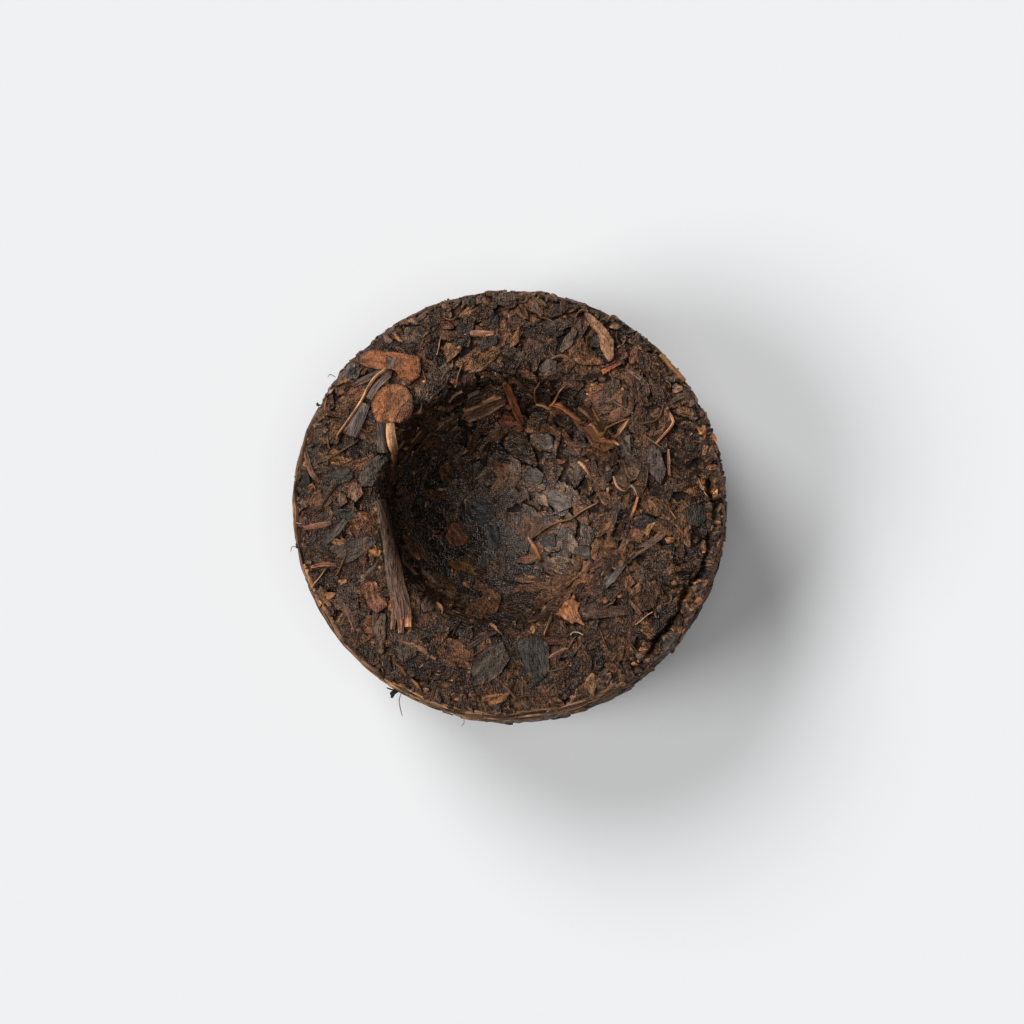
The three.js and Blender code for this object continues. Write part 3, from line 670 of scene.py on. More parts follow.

# The leaves that stand out
# Larger pieces of leaf lie on top of the crust: rust and orange ones that fermented less, slate ones pressed
# smooth, and golden bits. Each was pressed on whole, so it keeps its own outline over a dark line of shade,
# partly cast and partly painted on its turned-down edge.

FINE_GRID = (24, 18)
SHOWN_CRUMPLE = 0.12
SHOWN_LEAVES = {
    "rust_pieces": {"roughness": 0.44, "shine": 0.45, "wrinkle": 2.4, "relief": 0.4, "furrow_painted_shade": 0.5,
        "leaves": (
        {"lift": 0.9, "tints": ("#6b3f24", "#804a28"), "outline": ((-28.6, 27.6), (-27.2, 29.2),
         (-25.8, 29.8), (-22, 29.3), (-19.5, 28.8), (-16.5, 28.2), (-16.4, 26), (-16.6, 24.3),
         (-18.8, 22.8), (-20.2, 24), (-20.4, 25.4), (-22.6, 25.8), (-25, 25.8), (-28.2, 26.8))},
        {"lift": 1.2, "tints": ("#85502a", "#6b442c"), "outline": ((-26, 19), (-25.4, 20.8), (-24.4, 22),
         (-22.8, 23), (-21, 23), (-19.2, 22.4), (-18, 20.6), (-17.9, 18.6), (-18.8, 16.6), (-20.6, 15.6),
         (-23, 15.2), (-24.8, 15.4), (-25.7, 17))},
        {"lift": 0.9, "tints": ("#7a5742", "#825c45"), "outline": ((-30.5, 2.5), (-29.5, 4), (-28, 3.5),
         (-27.5, 1.5), (-29, 0), (-30.5, 1))},
        {"lift": 0.8, "tints": ("#6f5440", "#5f4433"), "outline": ((-32.5, 1), (-32, 2), (-31, 1.5),
         (-30.5, 0), (-32, -1))},
        {"lift": 1.0, "tints": ("#96704f", "#84593c"), "outline": ((15, 36.5), (16.5, 36), (19.5, 33),
         (21, 30.5), (21, 27), (20, 26.5), (18.5, 29), (18, 32), (16.5, 33.5))},
        {"lift": 0.8, "tints": ("#9a5430", "#6b3d26"), "outline": ((18.5, 25), (21, 26), (22.5, 26.5),
         (22.5, 26), (20.5, 25), (19, 24))},
        {"lift": 0.35, "crumple": 0.06, "tints": ("#553726", "#5c3a26"), "outline": ((14.4, 18),
         (15.6, 19.8), (18, 21), (21, 21.6), (23.6, 21), (25, 19), (24.6, 16.6), (22.6, 15.4),
         (19.6, 14.8), (17, 15.2), (15.4, 16.4))},
        {"lift": 0.35, "tints": ("#6b3f26", "#5f3824"), "outline": ((8.4, 18.4), (10, 18.8), (12.4, 17.6),
         (13, 16.8), (11, 16.4), (9.4, 17.2))},
        {"lift": 0.4, "tints": ("#6e4a34", "#8a5434"), "outline": ((12.6, 16.6), (15, 15.4), (17, 14.6),
         (19.5, 13), (21.8, 11.4), (22.4, 10.8), (20, 11.4), (18.6, 11), (16.4, 12.4), (14, 14.4))},
        {"lift": 0.4, "tints": ("#6e3f2a", "#5a3322"), "outline": ((-1.6, 15.8), (-0.4, 17), (1.2, 16.6),
         (2.6, 15.2), (4, 14), (2.6, 13.4), (0.6, 14.2), (-1, 14.8))},
        {"lift": 0.3, "tints": ("#4a372c", "#59432f"), "outline": ((20.5, 6.5), (22, 7.8), (25, 7),
         (26, 5.5), (25.4, 4), (23, 3.4), (21, 4.6))},
        {"lift": 0.8, "crumple": 0.22, "tints": ("#bd7f55", "#a86c45"), "outline": ((9.5, -22.5),
         (10, -21), (10.5, -19), (11.5, -18.5), (12.5, -17), (13, -19), (14.5, -20), (14, -21.5),
         (15.5, -24.5), (13.5, -23.5), (13, -24), (11, -23))},
        {"lift": 0.5, "tints": ("#4d3427", "#463020"), "outline": ((14.5, -21), (16.5, -20), (21, -20.5),
         (24.5, -20), (24.5, -22), (21, -22.5), (17, -23), (15, -22.5))},
        {"lift": 0.6, "tints": ("#7d5a3a", "#7f5b40"), "outline": ((15.5, -34), (16.5, -33),
         (17.5, -33.5), (17.5, -35), (16.5, -37.5), (15, -35.5))},
        {"lift": 0.7, "tints": ("#8f6036", "#a07344"), "outline": ((26.5, -6.5), (27.5, -5), (29, -4.5),
         (28, -6), (27.5, -7.5))},
        {"lift": 0.6, "tints": ("#855433", "#6a472e"), "outline": ((23, -15), (24, -14.5), (25, -16),
         (24, -17))},
        {"lift": 0.8, "crumple": 0.2, "tints": ("#6b4430", "#85553c", "#6b4430"),
         "outline": ((-28, -16.5), (-26.2, -15.2), (-25, -15.4), (-23.6, -17.5), (-22.6, -20),
         (-24.4, -21.6), (-26.2, -20.6))},
        {"lift": 0.7, "crumple": 0.2, "tints": ("#4d392c", "#5f4535", "#4d392c"),
         "outline": ((-25.6, -21), (-23, -21.6), (-22.7, -24), (-23, -26.5), (-23.4, -29.2), (-24.8, -29),
         (-25, -26), (-25.6, -23.5))},
        {"lift": 0.6, "crumple": 0.08, "tints": ("#8f5530", "#7d4829"), "outline": ((-11.9, -6.6),
         (-11, -5.4), (-10.4, -4.1), (-9.4, -4.4), (-8.4, -6), (-7.2, -7.4), (-8, -8.6), (-10.2, -9),
         (-11, -8.2))},
        {"lift": 0.4, "tints": ("#74502f", "#8a6238", "#745234"), "outline": ((-12, -12.4),
         (-10.5, -11.5), (-8, -11.8), (-5, -12.6), (-3.6, -14), (-4.6, -14.8), (-7, -14.2),
         (-10, -13.2))},
    )},
    "slate_pieces": {"roughness": 0.44, "shine": 0.42, "wrinkle": 2.4, "relief": 0.4,
        "furrow_painted_shade": 0.45, "leaves": (
        {"lift": 1.1, "tints": ("#57463c", "#503c32"), "outline": ((-23, 28), (-22.4, 28.2), (-22, 27.8),
         (-21.3, 28.2), (-20.7, 27.8), (-21, 27), (-21.7, 26.2), (-22.6, 25.8), (-23, 26.8))},
        {"lift": 1.0, "tints": ("#4a3d34", "#443b34"), "outline": ((-28.6, 4.6), (-27.6, 7), (-25.8, 8.6),
         (-24, 9.4), (-22.8, 8.8), (-23.2, 7.4), (-24.2, 6), (-25.2, 4.6), (-26, 3), (-28, 3))},
        {"lift": 0.6, "tints": ("#3a3532", "#413b35"), "outline": ((-31.6, 24.6), (-30.4, 26.6),
         (-29.2, 27.4), (-28.4, 26.8), (-28.2, 25.4), (-28.8, 24.2), (-30.2, 24))},
        {"lift": 0.6, "tints": ("#383029", "#2f2720"), "outline": ((-5.5, 31), (-4, 31.5), (-3, 31.5),
         (-1.5, 32), (-1.5, 30.5), (-3, 30), (-4.5, 29))},
        {"lift": 0.6, "tints": ("#3a312a", "#302721"), "outline": ((-35.5, 4.5), (-33, 6.5), (-31, 7),
         (-29.5, 6), (-29.5, 4.5), (-32, 3.5), (-35, 3.5))},
        {"lift": 0.6, "tints": ("#4b3b32", "#493b33"), "outline": ((26.5, 9), (28.5, 10.5), (29.5, 10),
         (31, 5.5), (30, 2.5), (29, 3.5), (27.5, 5.5))},
        {"lift": 0.5, "tints": ("#5a4e44", "#4e4239"), "outline": ((21.5, 11.5), (24, 12.5), (24.5, 9),
         (23, 8.5))},
        {"lift": 0.6, "tints": ("#332a24", "#3b2e27"), "outline": ((16.5, 31), (18, 32), (19, 31),
         (18, 29.5), (16.5, 29.5))},
        {"lift": 0.6, "tints": ("#534234", "#4b3c32"), "outline": ((10.5, 29), (11.5, 31.5), (13.5, 33.5),
         (14, 32.5), (13, 30), (11, 28.5))},
        {"lift": 0.4, "tints": ("#57463d", "#483930"), "outline": ((6.5, 25.5), (8, 27.5), (10, 27),
         (10, 24.5), (8, 24))},
        {"lift": 0.7, "crumple": 0.18, "tints": ("#332b25", "#3a322b"), "outline": ((2, -29), (2.5, -27),
         (4.5, -26), (7, -26.5), (8.5, -28), (8.5, -33), (6, -35), (4, -33), (2.5, -30.5))},
        {"lift": 0.5, "tints": ("#352b24", "#2a221b"), "outline": ((34.5, -2), (36.5, -1), (38.5, -1.5),
         (38.5, -4), (37, -5.5), (35, -5))},
        {"lift": 0.8, "tints": ("#625045", "#56463d"), "outline": ((29.5, -28), (30, -26), (32, -25),
         (32.5, -25.5), (31, -27.5), (30, -29))},
        {"lift": 0.6, "crumple": 0.16, "tints": ("#43372c", "#4d3f32"), "outline": ((-6.5, -32),
         (-4, -28.5), (-0.5, -27), (1, -30.5), (-1, -33.5), (-3.5, -35), (-6, -35.5))},
        {"lift": 0.5, "tints": ("#47382e", "#45382f"), "outline": ((-34, -8.5), (-29, -7), (-25, -6.5),
         (-25, -8), (-27.5, -10.5), (-31, -12), (-33.5, -11))},
        {"lift": 0.5, "tints": ("#322c27", "#352f29"), "outline": ((-33, -1.5), (-29, -1), (-28, -2.5),
         (-31, -4))},
        {"lift": 0.5, "tints": ("#574237", "#47362c"), "outline": ((-16.5, -20), (-15.5, -17.5),
         (-14, -18), (-14, -21), (-16, -21.5))},
        {"lift": 0.5, "tints": ("#46342a", "#453125"), "outline": ((-21.5, -25.5), (-18.5, -25),
         (-16.6, -26), (-17, -29.6), (-19.6, -31), (-21, -29))},
        {"lift": 0.3, "tints": ("#3d3632", "#403a36"), "outline": ((-8.8, -1), (-7.4, 0.6), (-4, 0.4),
         (-1.8, -1.4), (-2, -3.2), (-4.6, -4.8), (-7, -4))},
        {"lift": 0.3, "tints": ("#443d38", "#3d3632"), "outline": ((-5.6, -5.4), (-3.2, -4.6), (-1.4, -5),
         (-1, -8), (-1.6, -9.8), (-4, -8.6))},
        {"lift": 0.3, "tints": ("#4c423a", "#50463e"), "outline": ((4, 6), (6, 6.4), (7.6, 5), (7, 3.2),
         (5, 3.6))},
        {"lift": 0.3, "tints": ("#50453c", "#4a4038"), "outline": ((8, 1.6), (10, 2.4), (12.4, 1),
         (13, -1.4), (10.6, -2.4), (8.6, -0.8))},
        {"lift": 0.4, "tints": ("#5b5148", "#4a423b"), "outline": ((-6.4, 7.4), (-5, 8), (-5, 6.4),
         (-6, 5.2))},
        {"lift": 0.4, "tints": ("#5a5047", "#524840"), "outline": ((6.6, 12.4), (8, 13.2), (9.4, 12.2),
         (9.4, 10.4), (8, 9.8), (6.8, 10.6))},
        {"lift": 0.3, "tints": ("#4c433b", "#453c35"), "outline": ((13, -9), (16.5, -9), (16.5, -11.5),
         (14, -12))},
        {"lift": 0.4, "tints": ("#3a322c", "#352e28"), "outline": ((7, -7), (9.5, -6.5), (10, -9),
         (8, -9.6))},
    )},
}
# The golden bits, each with its place, length and colour
BRIGHT_BITS = (
    (-31.5, -7.5, 2.0, "#84583c"), (-25.5, -10, 3.2, "#96663a"), (-34, -18, 2.4, "#9a6a44"),
    (-12.5, -33, 2.4, "#8a5a34"), (-8.5, -38, 2.2, "#935a34"), (40, 8.5, 2.6, "#a86f40"),
    (40.5, 5, 2.8, "#b0764a"), (31.5, -8, 2.2, "#8d5f3a"), (37, -19, 2.0, "#96683c"),
    (36, -21.5, 1.8, "#94663c"), (25, -33.5, 2.6, "#96623c"), (27.5, -31.5, 1.8, "#9a6a44"),
    (-15.5, 23.5, 1.6, "#a8733e"), (-24, 34, 1.6, "#b07a3c"), (-18.5, 35.5, 1.8, "#96683c"),
    (19, -19.5, 1.6, "#85553a"), (22, -18.5, 1.4, "#85553a"), (33, -13.5, 1.6, "#7a5238"),
)
BIT_SLIM = 1.8
BIT_LIFT = 0.35
BIT_GRID = (8, 6)
BIT_CRUMPLE = 0.14

EYE_TILT = math.radians(9)  # all these places are read at the rim's height, looking from this side
EYE_SIDE = math.radians(-50)
EYE_DISTANCE = 500
LOOKED_AT = np.array((1.3, -2.2, HEIGHT))
EYE_WAY = np.array((math.sin(EYE_TILT) * math.cos(EYE_SIDE), math.sin(EYE_TILT) * math.sin(EYE_SIDE),
                    math.cos(EYE_TILT)))
SIGHT_STEP = 0.1
SIGHT_REACH = 1.1 * HOLLOW_DEPTH  # a slanted sight line to the floor is longer than the hollow is deep
SIGHT_STEPS = np.arange(0, SIGHT_REACH, SIGHT_STEP)
NEAR_WALL = 20  # from this radius on, what is seen on the near side lies on the lip, which hides its wall
SHOWN_RAGGED = 0.012
OWN_REACH = np.array([2.0])  # the length and width at which a drawn outline keeps its size


def seen_outline(corners, middle):
    """A function for the reach of a drawn outline in each direction from its middle."""
    start = np.array(corners) - middle
    side = np.roll(start, -1, axis=0) - start

    def reach(direction, many):
        way = np.column_stack((np.cos(direction), np.sin(direction)))[:, None]
        turning = way[..., 0] * side[:, 1] - way[..., 1] * side[:, 0]
        far = (start[:, 0] * side[:, 1] - start[:, 1] * side[:, 0]) / turning
        share = (start[:, 0] * way[..., 1] - start[:, 1] * way[..., 0]) / turning
        met = np.where((share >= 0) & (share <= 1) & (far > 0), far, 0).max(axis=1)
        return met * (1 + draw.normal(0, SHOWN_RAGGED, (many, met.size)))

    return reach


def sight_meets(x, y):
    """Where the sight lines through places at the rim's height come down on the top of the cake.
    Places over the near wall come straight down, since a sight line there passes the lip by."""
    start = np.stack((x, y, np.full_like(x, HEIGHT)), axis=-1)
    way = start - LOOKED_AT - EYE_DISTANCE * EYE_WAY
    way /= np.linalg.norm(way, axis=-1)[..., None]
    near = (np.hypot(x, y) > NEAR_WALL) & (x * EYE_WAY[0] + y * EYE_WAY[1] > 0)
    way[near] = (0, 0, -1)
    lines = start[..., None, :] + SIGHT_STEPS[:, None] * way[..., None, :]
    ground = np.interp(np.hypot(lines[..., 0], lines[..., 1]), TOP_RADIUS, TOP_HEIGHT)
    first = (lines[..., 2] <= ground).argmax(axis=-1)
    return start + SIGHT_STEPS[first][..., None] * way


def laid_as_seen(shapes, x, y):
    """Shapes pressed onto the top of the cake so that they show their own outline."""
    return settled(shapes, sight_meets(x[:, None] + shapes["along"], y[:, None] + shapes["over"]))


def side_to_side(values, tints):
    """Tints blended from the first at the lowest value to the last at the highest."""
    share = (values - values.min()) / np.ptp(values)
    colours = np.array([linear(tint) for tint in tints])
    steps = np.linspace(0, 1, len(colours))
    return np.stack([np.interp(share, steps, channel) for channel in colours.T], axis=-1)


# Whole leaf is smoother than the crust, so its own colour shows, with fewer furrows and little fraying
for name, kind in SHOWN_LEAVES.items():
    parts = []
    for leaf in kind["leaves"]:
        middle = np.mean(leaf["outline"], axis=0)
        spread = np.cov(np.transpose(leaf["outline"]))
        lie = math.atan2(2 * spread[0, 1], spread[0, 0] - spread[1, 1]) / 2
        shapes = leaf_shapes(seen_outline(leaf["outline"], middle), OWN_REACH, OWN_REACH,
                             np.array([leaf["lift"]]), FINE_GRID, leaf.get("crumple", SHOWN_CRUMPLE), lie)
        part = laid_as_seen(shapes, middle[:1], middle[1:])
        parts.append({**part, "tint": side_to_side(shapes["along"], leaf["tints"])})
    finish = tea_finish(f"fermented_{name}", kind["roughness"], kind["shine"], kind["wrinkle"], stretch=0.6,
                        relief=kind["relief"], furrow_painted_shade=kind["furrow_painted_shade"], fray_and_highlight=0.2)
    tea_piece(name, parts, finish)

bit_x, bit_y, bit_length = np.array([bit[:3] for bit in BRIGHT_BITS]).T
bit_shapes = leaf_shapes(torn_outline, bit_length, bit_length / BIT_SLIM, np.full(bit_x.size, BIT_LIFT),
                         BIT_GRID, BIT_CRUMPLE)
bit_tints = np.array([linear(bit[3]) for bit in BRIGHT_BITS])

# Leaf that hardly fermented is golden and dry, and its edges stay pale
golden_leaf = tea_finish("golden_leaf", roughness=0.55, shine=0.35, wrinkle=1.1, stretch=0.6, relief=0.2,
                         furrow_painted_shade=0.4, fray_and_highlight=0.3, border=1.0)
bit_part = laid_as_seen(bit_shapes, bit_x, bit_y)
tea_piece("bright_bits", [pick(bit_part, np.arange(bit_x.size), bit_tints)], golden_leaf)

# The stalks and strips
# Leaf stalks, rolled leaf and split stems lie among the leaves, most of them flat and some half buried.
# They are fibrous, so their wrinkles run straight along them, and a broken end shows paler fibres.

STRIP_ACROSS = np.array([-1, -0.94, -0.6, -0.2, 0.2, 0.6, 0.94, 1])
STRIP_STEPS = 22
STRIP_END = 0.012  # share of a shown strip in its first and last step, where its ends turn down
SCATTERED_END = 0.97
STRIP_ROUND = 0.9
STRIP_WAVES = {"across": 4.4, "along": 0.8, "height": 0.09}  # radians a half width, radians a mm, and mm
STRIP_TAPER = 0.35
STRIP_WOBBLE = {"reach": 0.015, "rate": 4, "phase": 6.3}  # share of the length, and radians
SHOWN_STALKS = (
    {"width": (1.6, 1.8, 2.0, 2.4, 3.0, 3.6, 3.8, 3.4), "lift": 0.6, "thick": 0.8,
     "tints": ("#5b4a3c", "#5f483b", "#6b4c3c", "#7a4f3c"), "line": ((-25, 0.5), (-24.3, -2.5),
     (-23.5, -6), (-22.2, -12), (-21.4, -15.5), (-20.5, -18.5), (-20, -20.6), (-19.9, -23))},
    {"width": (0.5, 1.1, 0.9), "lift": 1.0, "thick": 0.3, "tints": ("#5f483b", "#6b4a3a", "#755340"),
     "line": ((-21.4, -20), (-21.4, -22.4), (-21.6, -24.7))},
    {"width": (0.5, 1.4, 1.2), "lift": 1.1, "thick": 0.3, "tints": ("#6b4c3c", "#85563e", "#b07850"),
     "line": ((-20.2, -20.5), (-20, -23), (-19.9, -25.4))},
    {"width": (0.5, 1.5, 1.4), "lift": 1.1, "thick": 0.3, "tints": ("#6b4c3c", "#85543e", "#b87c56"),
     "line": ((-18.9, -19.5), (-18.6, -22), (-18.6, -24.3))},
    {"width": (1.6, 1.7, 1.6, 0.8), "lift": 0.9, "thick": 0.3, "tints": ("#a87a56", "#b2845f", "#94663f"),
     "line": ((-22.4, 15.4), (-22.4, 13), (-22.3, 11), (-22.2, 9.6))},
    {"width": (1.7, 1.7, 1.7), "lift": 0.8, "thick": 0.3, "tints": ("#46392f", "#4f4138"),
     "line": ((-24.1, 15.4), (-24.1, 12.5), (-24, 9.6))},
    {"width": (0.6, 0.8, 0.5), "lift": 0.5, "thick": 0.3, "tints": ("#8a5a3c", "#74492f"),
     "line": ((-22.2, 9.8), (-22.2, 6.5), (-22.6, 4))},
    {"width": (2.2, 2.4, 1.6), "lift": 0.4, "thick": 0.1, "tints": ("#74563f", "#624633", "#523928"),
     "line": ((-8, 17), (-4, 18.6), (0, 20.2))},
    {"width": (0.4, 0.5, 0.4), "lift": 0.8, "thick": 0.2, "tints": ("#846149", "#8d6a4c"),
     "line": ((-7.9, 18.2), (-4, 19.7), (-0.7, 20.9))},
    {"width": (0.4, 0.5, 0.4), "lift": 0.8, "thick": 0.2, "tints": ("#846149", "#6b4a38"),
     "line": ((-7.5, 15.9), (-3.6, 17.5), (0.1, 19.6))},
    {"width": (1.2, 1.4, 1.4), "lift": 0.6, "thick": 0.3, "tints": ("#4f3f36", "#62524a"),
     "line": ((-22.4, 24.9), (-24.9, 22.6), (-26.6, 20.2))},
    {"width": (2.2, 2.6, 2.4), "lift": 0.7, "thick": 0.3, "tints": ("#66554a", "#5b4e47", "#53453c"),
     "line": ((-27.2, 19.3), (-28.4, 16.5), (-29.8, 12.8))},
    {"width": (0.6, 0.9, 0.5), "lift": 0.6, "thick": 0.2, "tints": ("#84594a", "#74503f"),
     "line": ((-29.4, 17.6), (-30.2, 15.6), (-31.2, 13.8))},
    # This grey strip stands for a streak of sheen: its pale grey is a painted reflection
    {"width": (0.6, 1.4, 0.7), "lift": 0.3, "thick": 0.1, "tints": ("#453f3a", "#544e48", "#453f3a"),
     "line": ((17.5, -18.5), (20.6, -15.2), (23.4, -11.8))},
    {"width": (0.8, 1.5, 1.7, 1.5, 0.9), "lift": 0.5, "thick": 0.2,
     "tints": ("#96563a", "#70402a", "#5f3626"), "line": ((-0.2, 23.3), (0.6, 22), (1.6, 19.5),
     (2.6, 16.8), (3.4, 15))},
    {"width": (0.6, 0.9, 0.6), "lift": 0.4, "thick": 0.3, "tints": ("#5f3d2a", "#523524"),
     "line": ((-19.8, 10), (-16.4, 13.6), (-12.6, 18.4))},
    {"width": (0.4, 0.7, 0.4), "lift": 0.4, "thick": 0.3, "tints": ("#523524", "#5f3d2a"),
     "line": ((-18, 9.6), (-15, 13), (-12, 16))},
    {"width": (0.8, 1.5, 1.0), "lift": 0.5, "thick": 0.5, "tints": ("#74483a", "#7d4f3a", "#5f4030"),
     "line": ((-39, -5), (-36.3, -4.6), (-33.5, -4))},
    {"width": (0.8, 1.5, 1.1), "lift": 0.5, "thick": 0.3, "tints": ("#4d443c", "#4a4038"),
     "line": ((-34.8, -8), (-32.6, -5.6), (-30.8, -3.4))},
    {"width": (0.5, 0.9, 0.5), "lift": 0.5, "thick": 0.2, "tints": ("#96603f", "#74492f", "#5f4335"),
     "line": ((-37.5, -12.5), (-35.5, -12), (-32.5, -12))},
    {"width": (0.3, 0.7, 0.4), "lift": 0.5, "thick": 0.2, "tints": ("#84512f", "#74492f"),
     "line": ((-21, -31), (-20, -32), (-19, -33.5))},
    {"width": (0.3, 0.7, 0.3), "lift": 0.5, "thick": 0.2, "tints": ("#74543f", "#8d5a3c", "#6b4a36"),
     "line": ((-18, -34), (-17, -35), (-16, -36.5))},
    {"width": (0.4, 0.9, 0.4), "lift": 0.5, "thick": 0.2, "tints": ("#9c6a42", "#8d5f3c"),
     "line": ((-35, -18.5), (-34, -19.5), (-33.5, -20))},
)


def smooth_line(points, steps):
    """A smooth line through a few places, with steps close together at its two ends."""
    points = np.asarray(points, float)
    padded = np.vstack((2 * points[0] - points[1], points, 2 * points[-1] - points[-2]))
    place = np.concatenate(([0], np.linspace(STRIP_END, 1 - STRIP_END, steps - 2), [1])) * (len(points) - 1)
    first = np.minimum(place.astype(int), len(points) - 2)
    t = (place - first)[:, None]
    before, start, end, after = (padded[first + i] for i in range(4))
    return start + 0.5 * ((end - before) * t + (2 * before - 5 * start + 4 * end - after) * t ** 2
                          + (3 * (start - end) + after - before) * t ** 3)


def strip_shapes(lines, widths, lift, thick, across):
    """Stalks laid out flat along lines: each a rounded ridge whose sides and ends turn down."""
    many, steps, _ = lines.shape
    way = np.gradient(lines, axis=1)
    way /= np.linalg.norm(way, axis=2)[..., None]
    side = np.stack((-way[..., 1], way[..., 0]), axis=-1)
    aside = across * widths[..., None] / 2
    points = lines[:, :, None] + side[:, :, None] * aside[..., None]
    run = np.cumsum(np.linalg.norm(np.diff(lines, axis=1, prepend=lines[:, :1]), axis=2), axis=1)
    phase = draw.uniform(0, 2 * math.pi, (many, 2, 1, 1))
    round_top = np.sqrt(1 - STRIP_ROUND * across ** 2)
    wave = np.sin(STRIP_WAVES["across"] * across + phase[:, 0])
    wave = wave + np.sin(STRIP_WAVES["along"] * run[..., None] + phase[:, 1])
    height = (lift[:, None] + thick[:, None] * round_top[None])[:, None, :] * np.ones((many, steps, 1))
    height = height + STRIP_WAVES["height"] * wave
    turned_down = np.abs(across) == 1
    height[:, :, turned_down] -= SKIRT
    height[:, (0, -1)] -= SKIRT
    # The turned-down sides and ends take the skirt's edge value, which the finish paints in its darkest edge
    # shade
    edge = np.where(turned_down, SKIRT_EDGE, np.abs(across)) * np.ones((many, steps, 1))
    edge[:, (0, -1)] = SKIRT_EDGE
    apart = draw.uniform(0, PATTERN_REACH, (many, 1, 1)) + np.zeros_like(aside)
    grain = np.stack((run[..., None] + apart, aside + apart, apart), axis=-1)
    flat = steps * across.size
    return {"along": points[..., 0].reshape(many, flat), "over": points[..., 1].reshape(many, flat),
            "height": height.reshape(many, flat), "grain": grain.reshape(many, flat, 3),
            "edge": edge.reshape(many, flat), "quads": grid_quads(steps, across.size)}


def shown_strips(rows):
    """The parts of strips that are drawn as they are seen, tinted from end to end."""
    parts = []
    for row in rows:
        line = smooth_line(row["line"], STRIP_STEPS)[None]
        share = np.linspace(0, 1, STRIP_STEPS)
        widths = np.interp(share, np.linspace(0, 1, len(row["width"])), row["width"])[None]
        lift, thick = np.array([row["lift"]]), np.array([row["thick"]])
        part = laid_as_seen(strip_shapes(line, widths, lift, thick, STRIP_ACROSS), np.zeros(1), np.zeros(1))
        tint = side_to_side(share, row["tints"])
        parts.append({**part, "tint": np.repeat(tint, STRIP_ACROSS.size, axis=0)[None]})
    return parts


def scattered_strips(kind, arc, angle, turn, across):
    """The part of many bowed strips of one kind, thinner at their ends, laid on the body at their spots."""
    many = arc.size
    ranges = (kind["length"], kind["width"], kind["lift"], kind["thick"])
    length, width, lift, thick = (draw.uniform(*between, many) for between in ranges)
    bow = draw.normal(0, kind["bow"], many)
    share = np.concatenate(([-1], np.linspace(-SCATTERED_END, SCATTERED_END, kind["steps"] - 2), [1]))
    phase = draw.uniform(0, STRIP_WOBBLE["phase"], (many, 1))
    wobble = STRIP_WOBBLE["reach"] * length[:, None] * np.sin(share * STRIP_WOBBLE["rate"] + phase)
    along = share * length[:, None] / 2
    over = bow[:, None] * share ** 2 + wobble
    widths = width[:, None] * (1 - STRIP_TAPER * share ** 2)
    shapes = strip_shapes(np.stack((along, over), axis=-1), widths, lift, thick, across)
    return laid(shapes, arc, angle, turn)


def tinted(part, hexes):
    """All of a part, with uneven tints."""
    many = len(part["corners"])
    return pick(part, np.arange(many), uneven_tints(hexes, many))


STALKS = {"count": 120, "length": (3.5, 10), "width": (0.6, 1.5), "lift": (0.1, 0.5), "thick": (0.12, 0.3),
          "bow": 0.4, "steps": 16}
STALK_TINTS = ("#543d2f", "#5f412f", "#6b4a36", "#43322a", "#75503a", "#4d3c32")
arc, angle = spread_spots(STALKS["count"], high=LIP_ARC)
stalk_part = scattered_strips(STALKS, arc, angle, draw.uniform(0, math.pi, arc.size), STRIP_ACROSS)

# Stalk is fibre bundles side by side: a soft shine, with straight grooves and tan where it is split, the tan
# partly a painted highlight
stalk_fibre = tea_finish("fibrous_stalk", roughness=0.46, shine=0.45, wrinkle=1.4, stretch=0.18, relief=0.35,
                         furrow_painted_shade=0.5, fray_and_highlight=0.8)
tea_piece("stalks", [*shown_strips(SHOWN_STALKS), tinted(stalk_part, STALK_TINTS)], stalk_fibre)

# The twigs and veins
# Split stems, leaf veins and fibres lie on top of everything else as thin lines, tan where wood is bare.
# They came loose from the leaves as those broke, and the press laid them flat among the leaves.

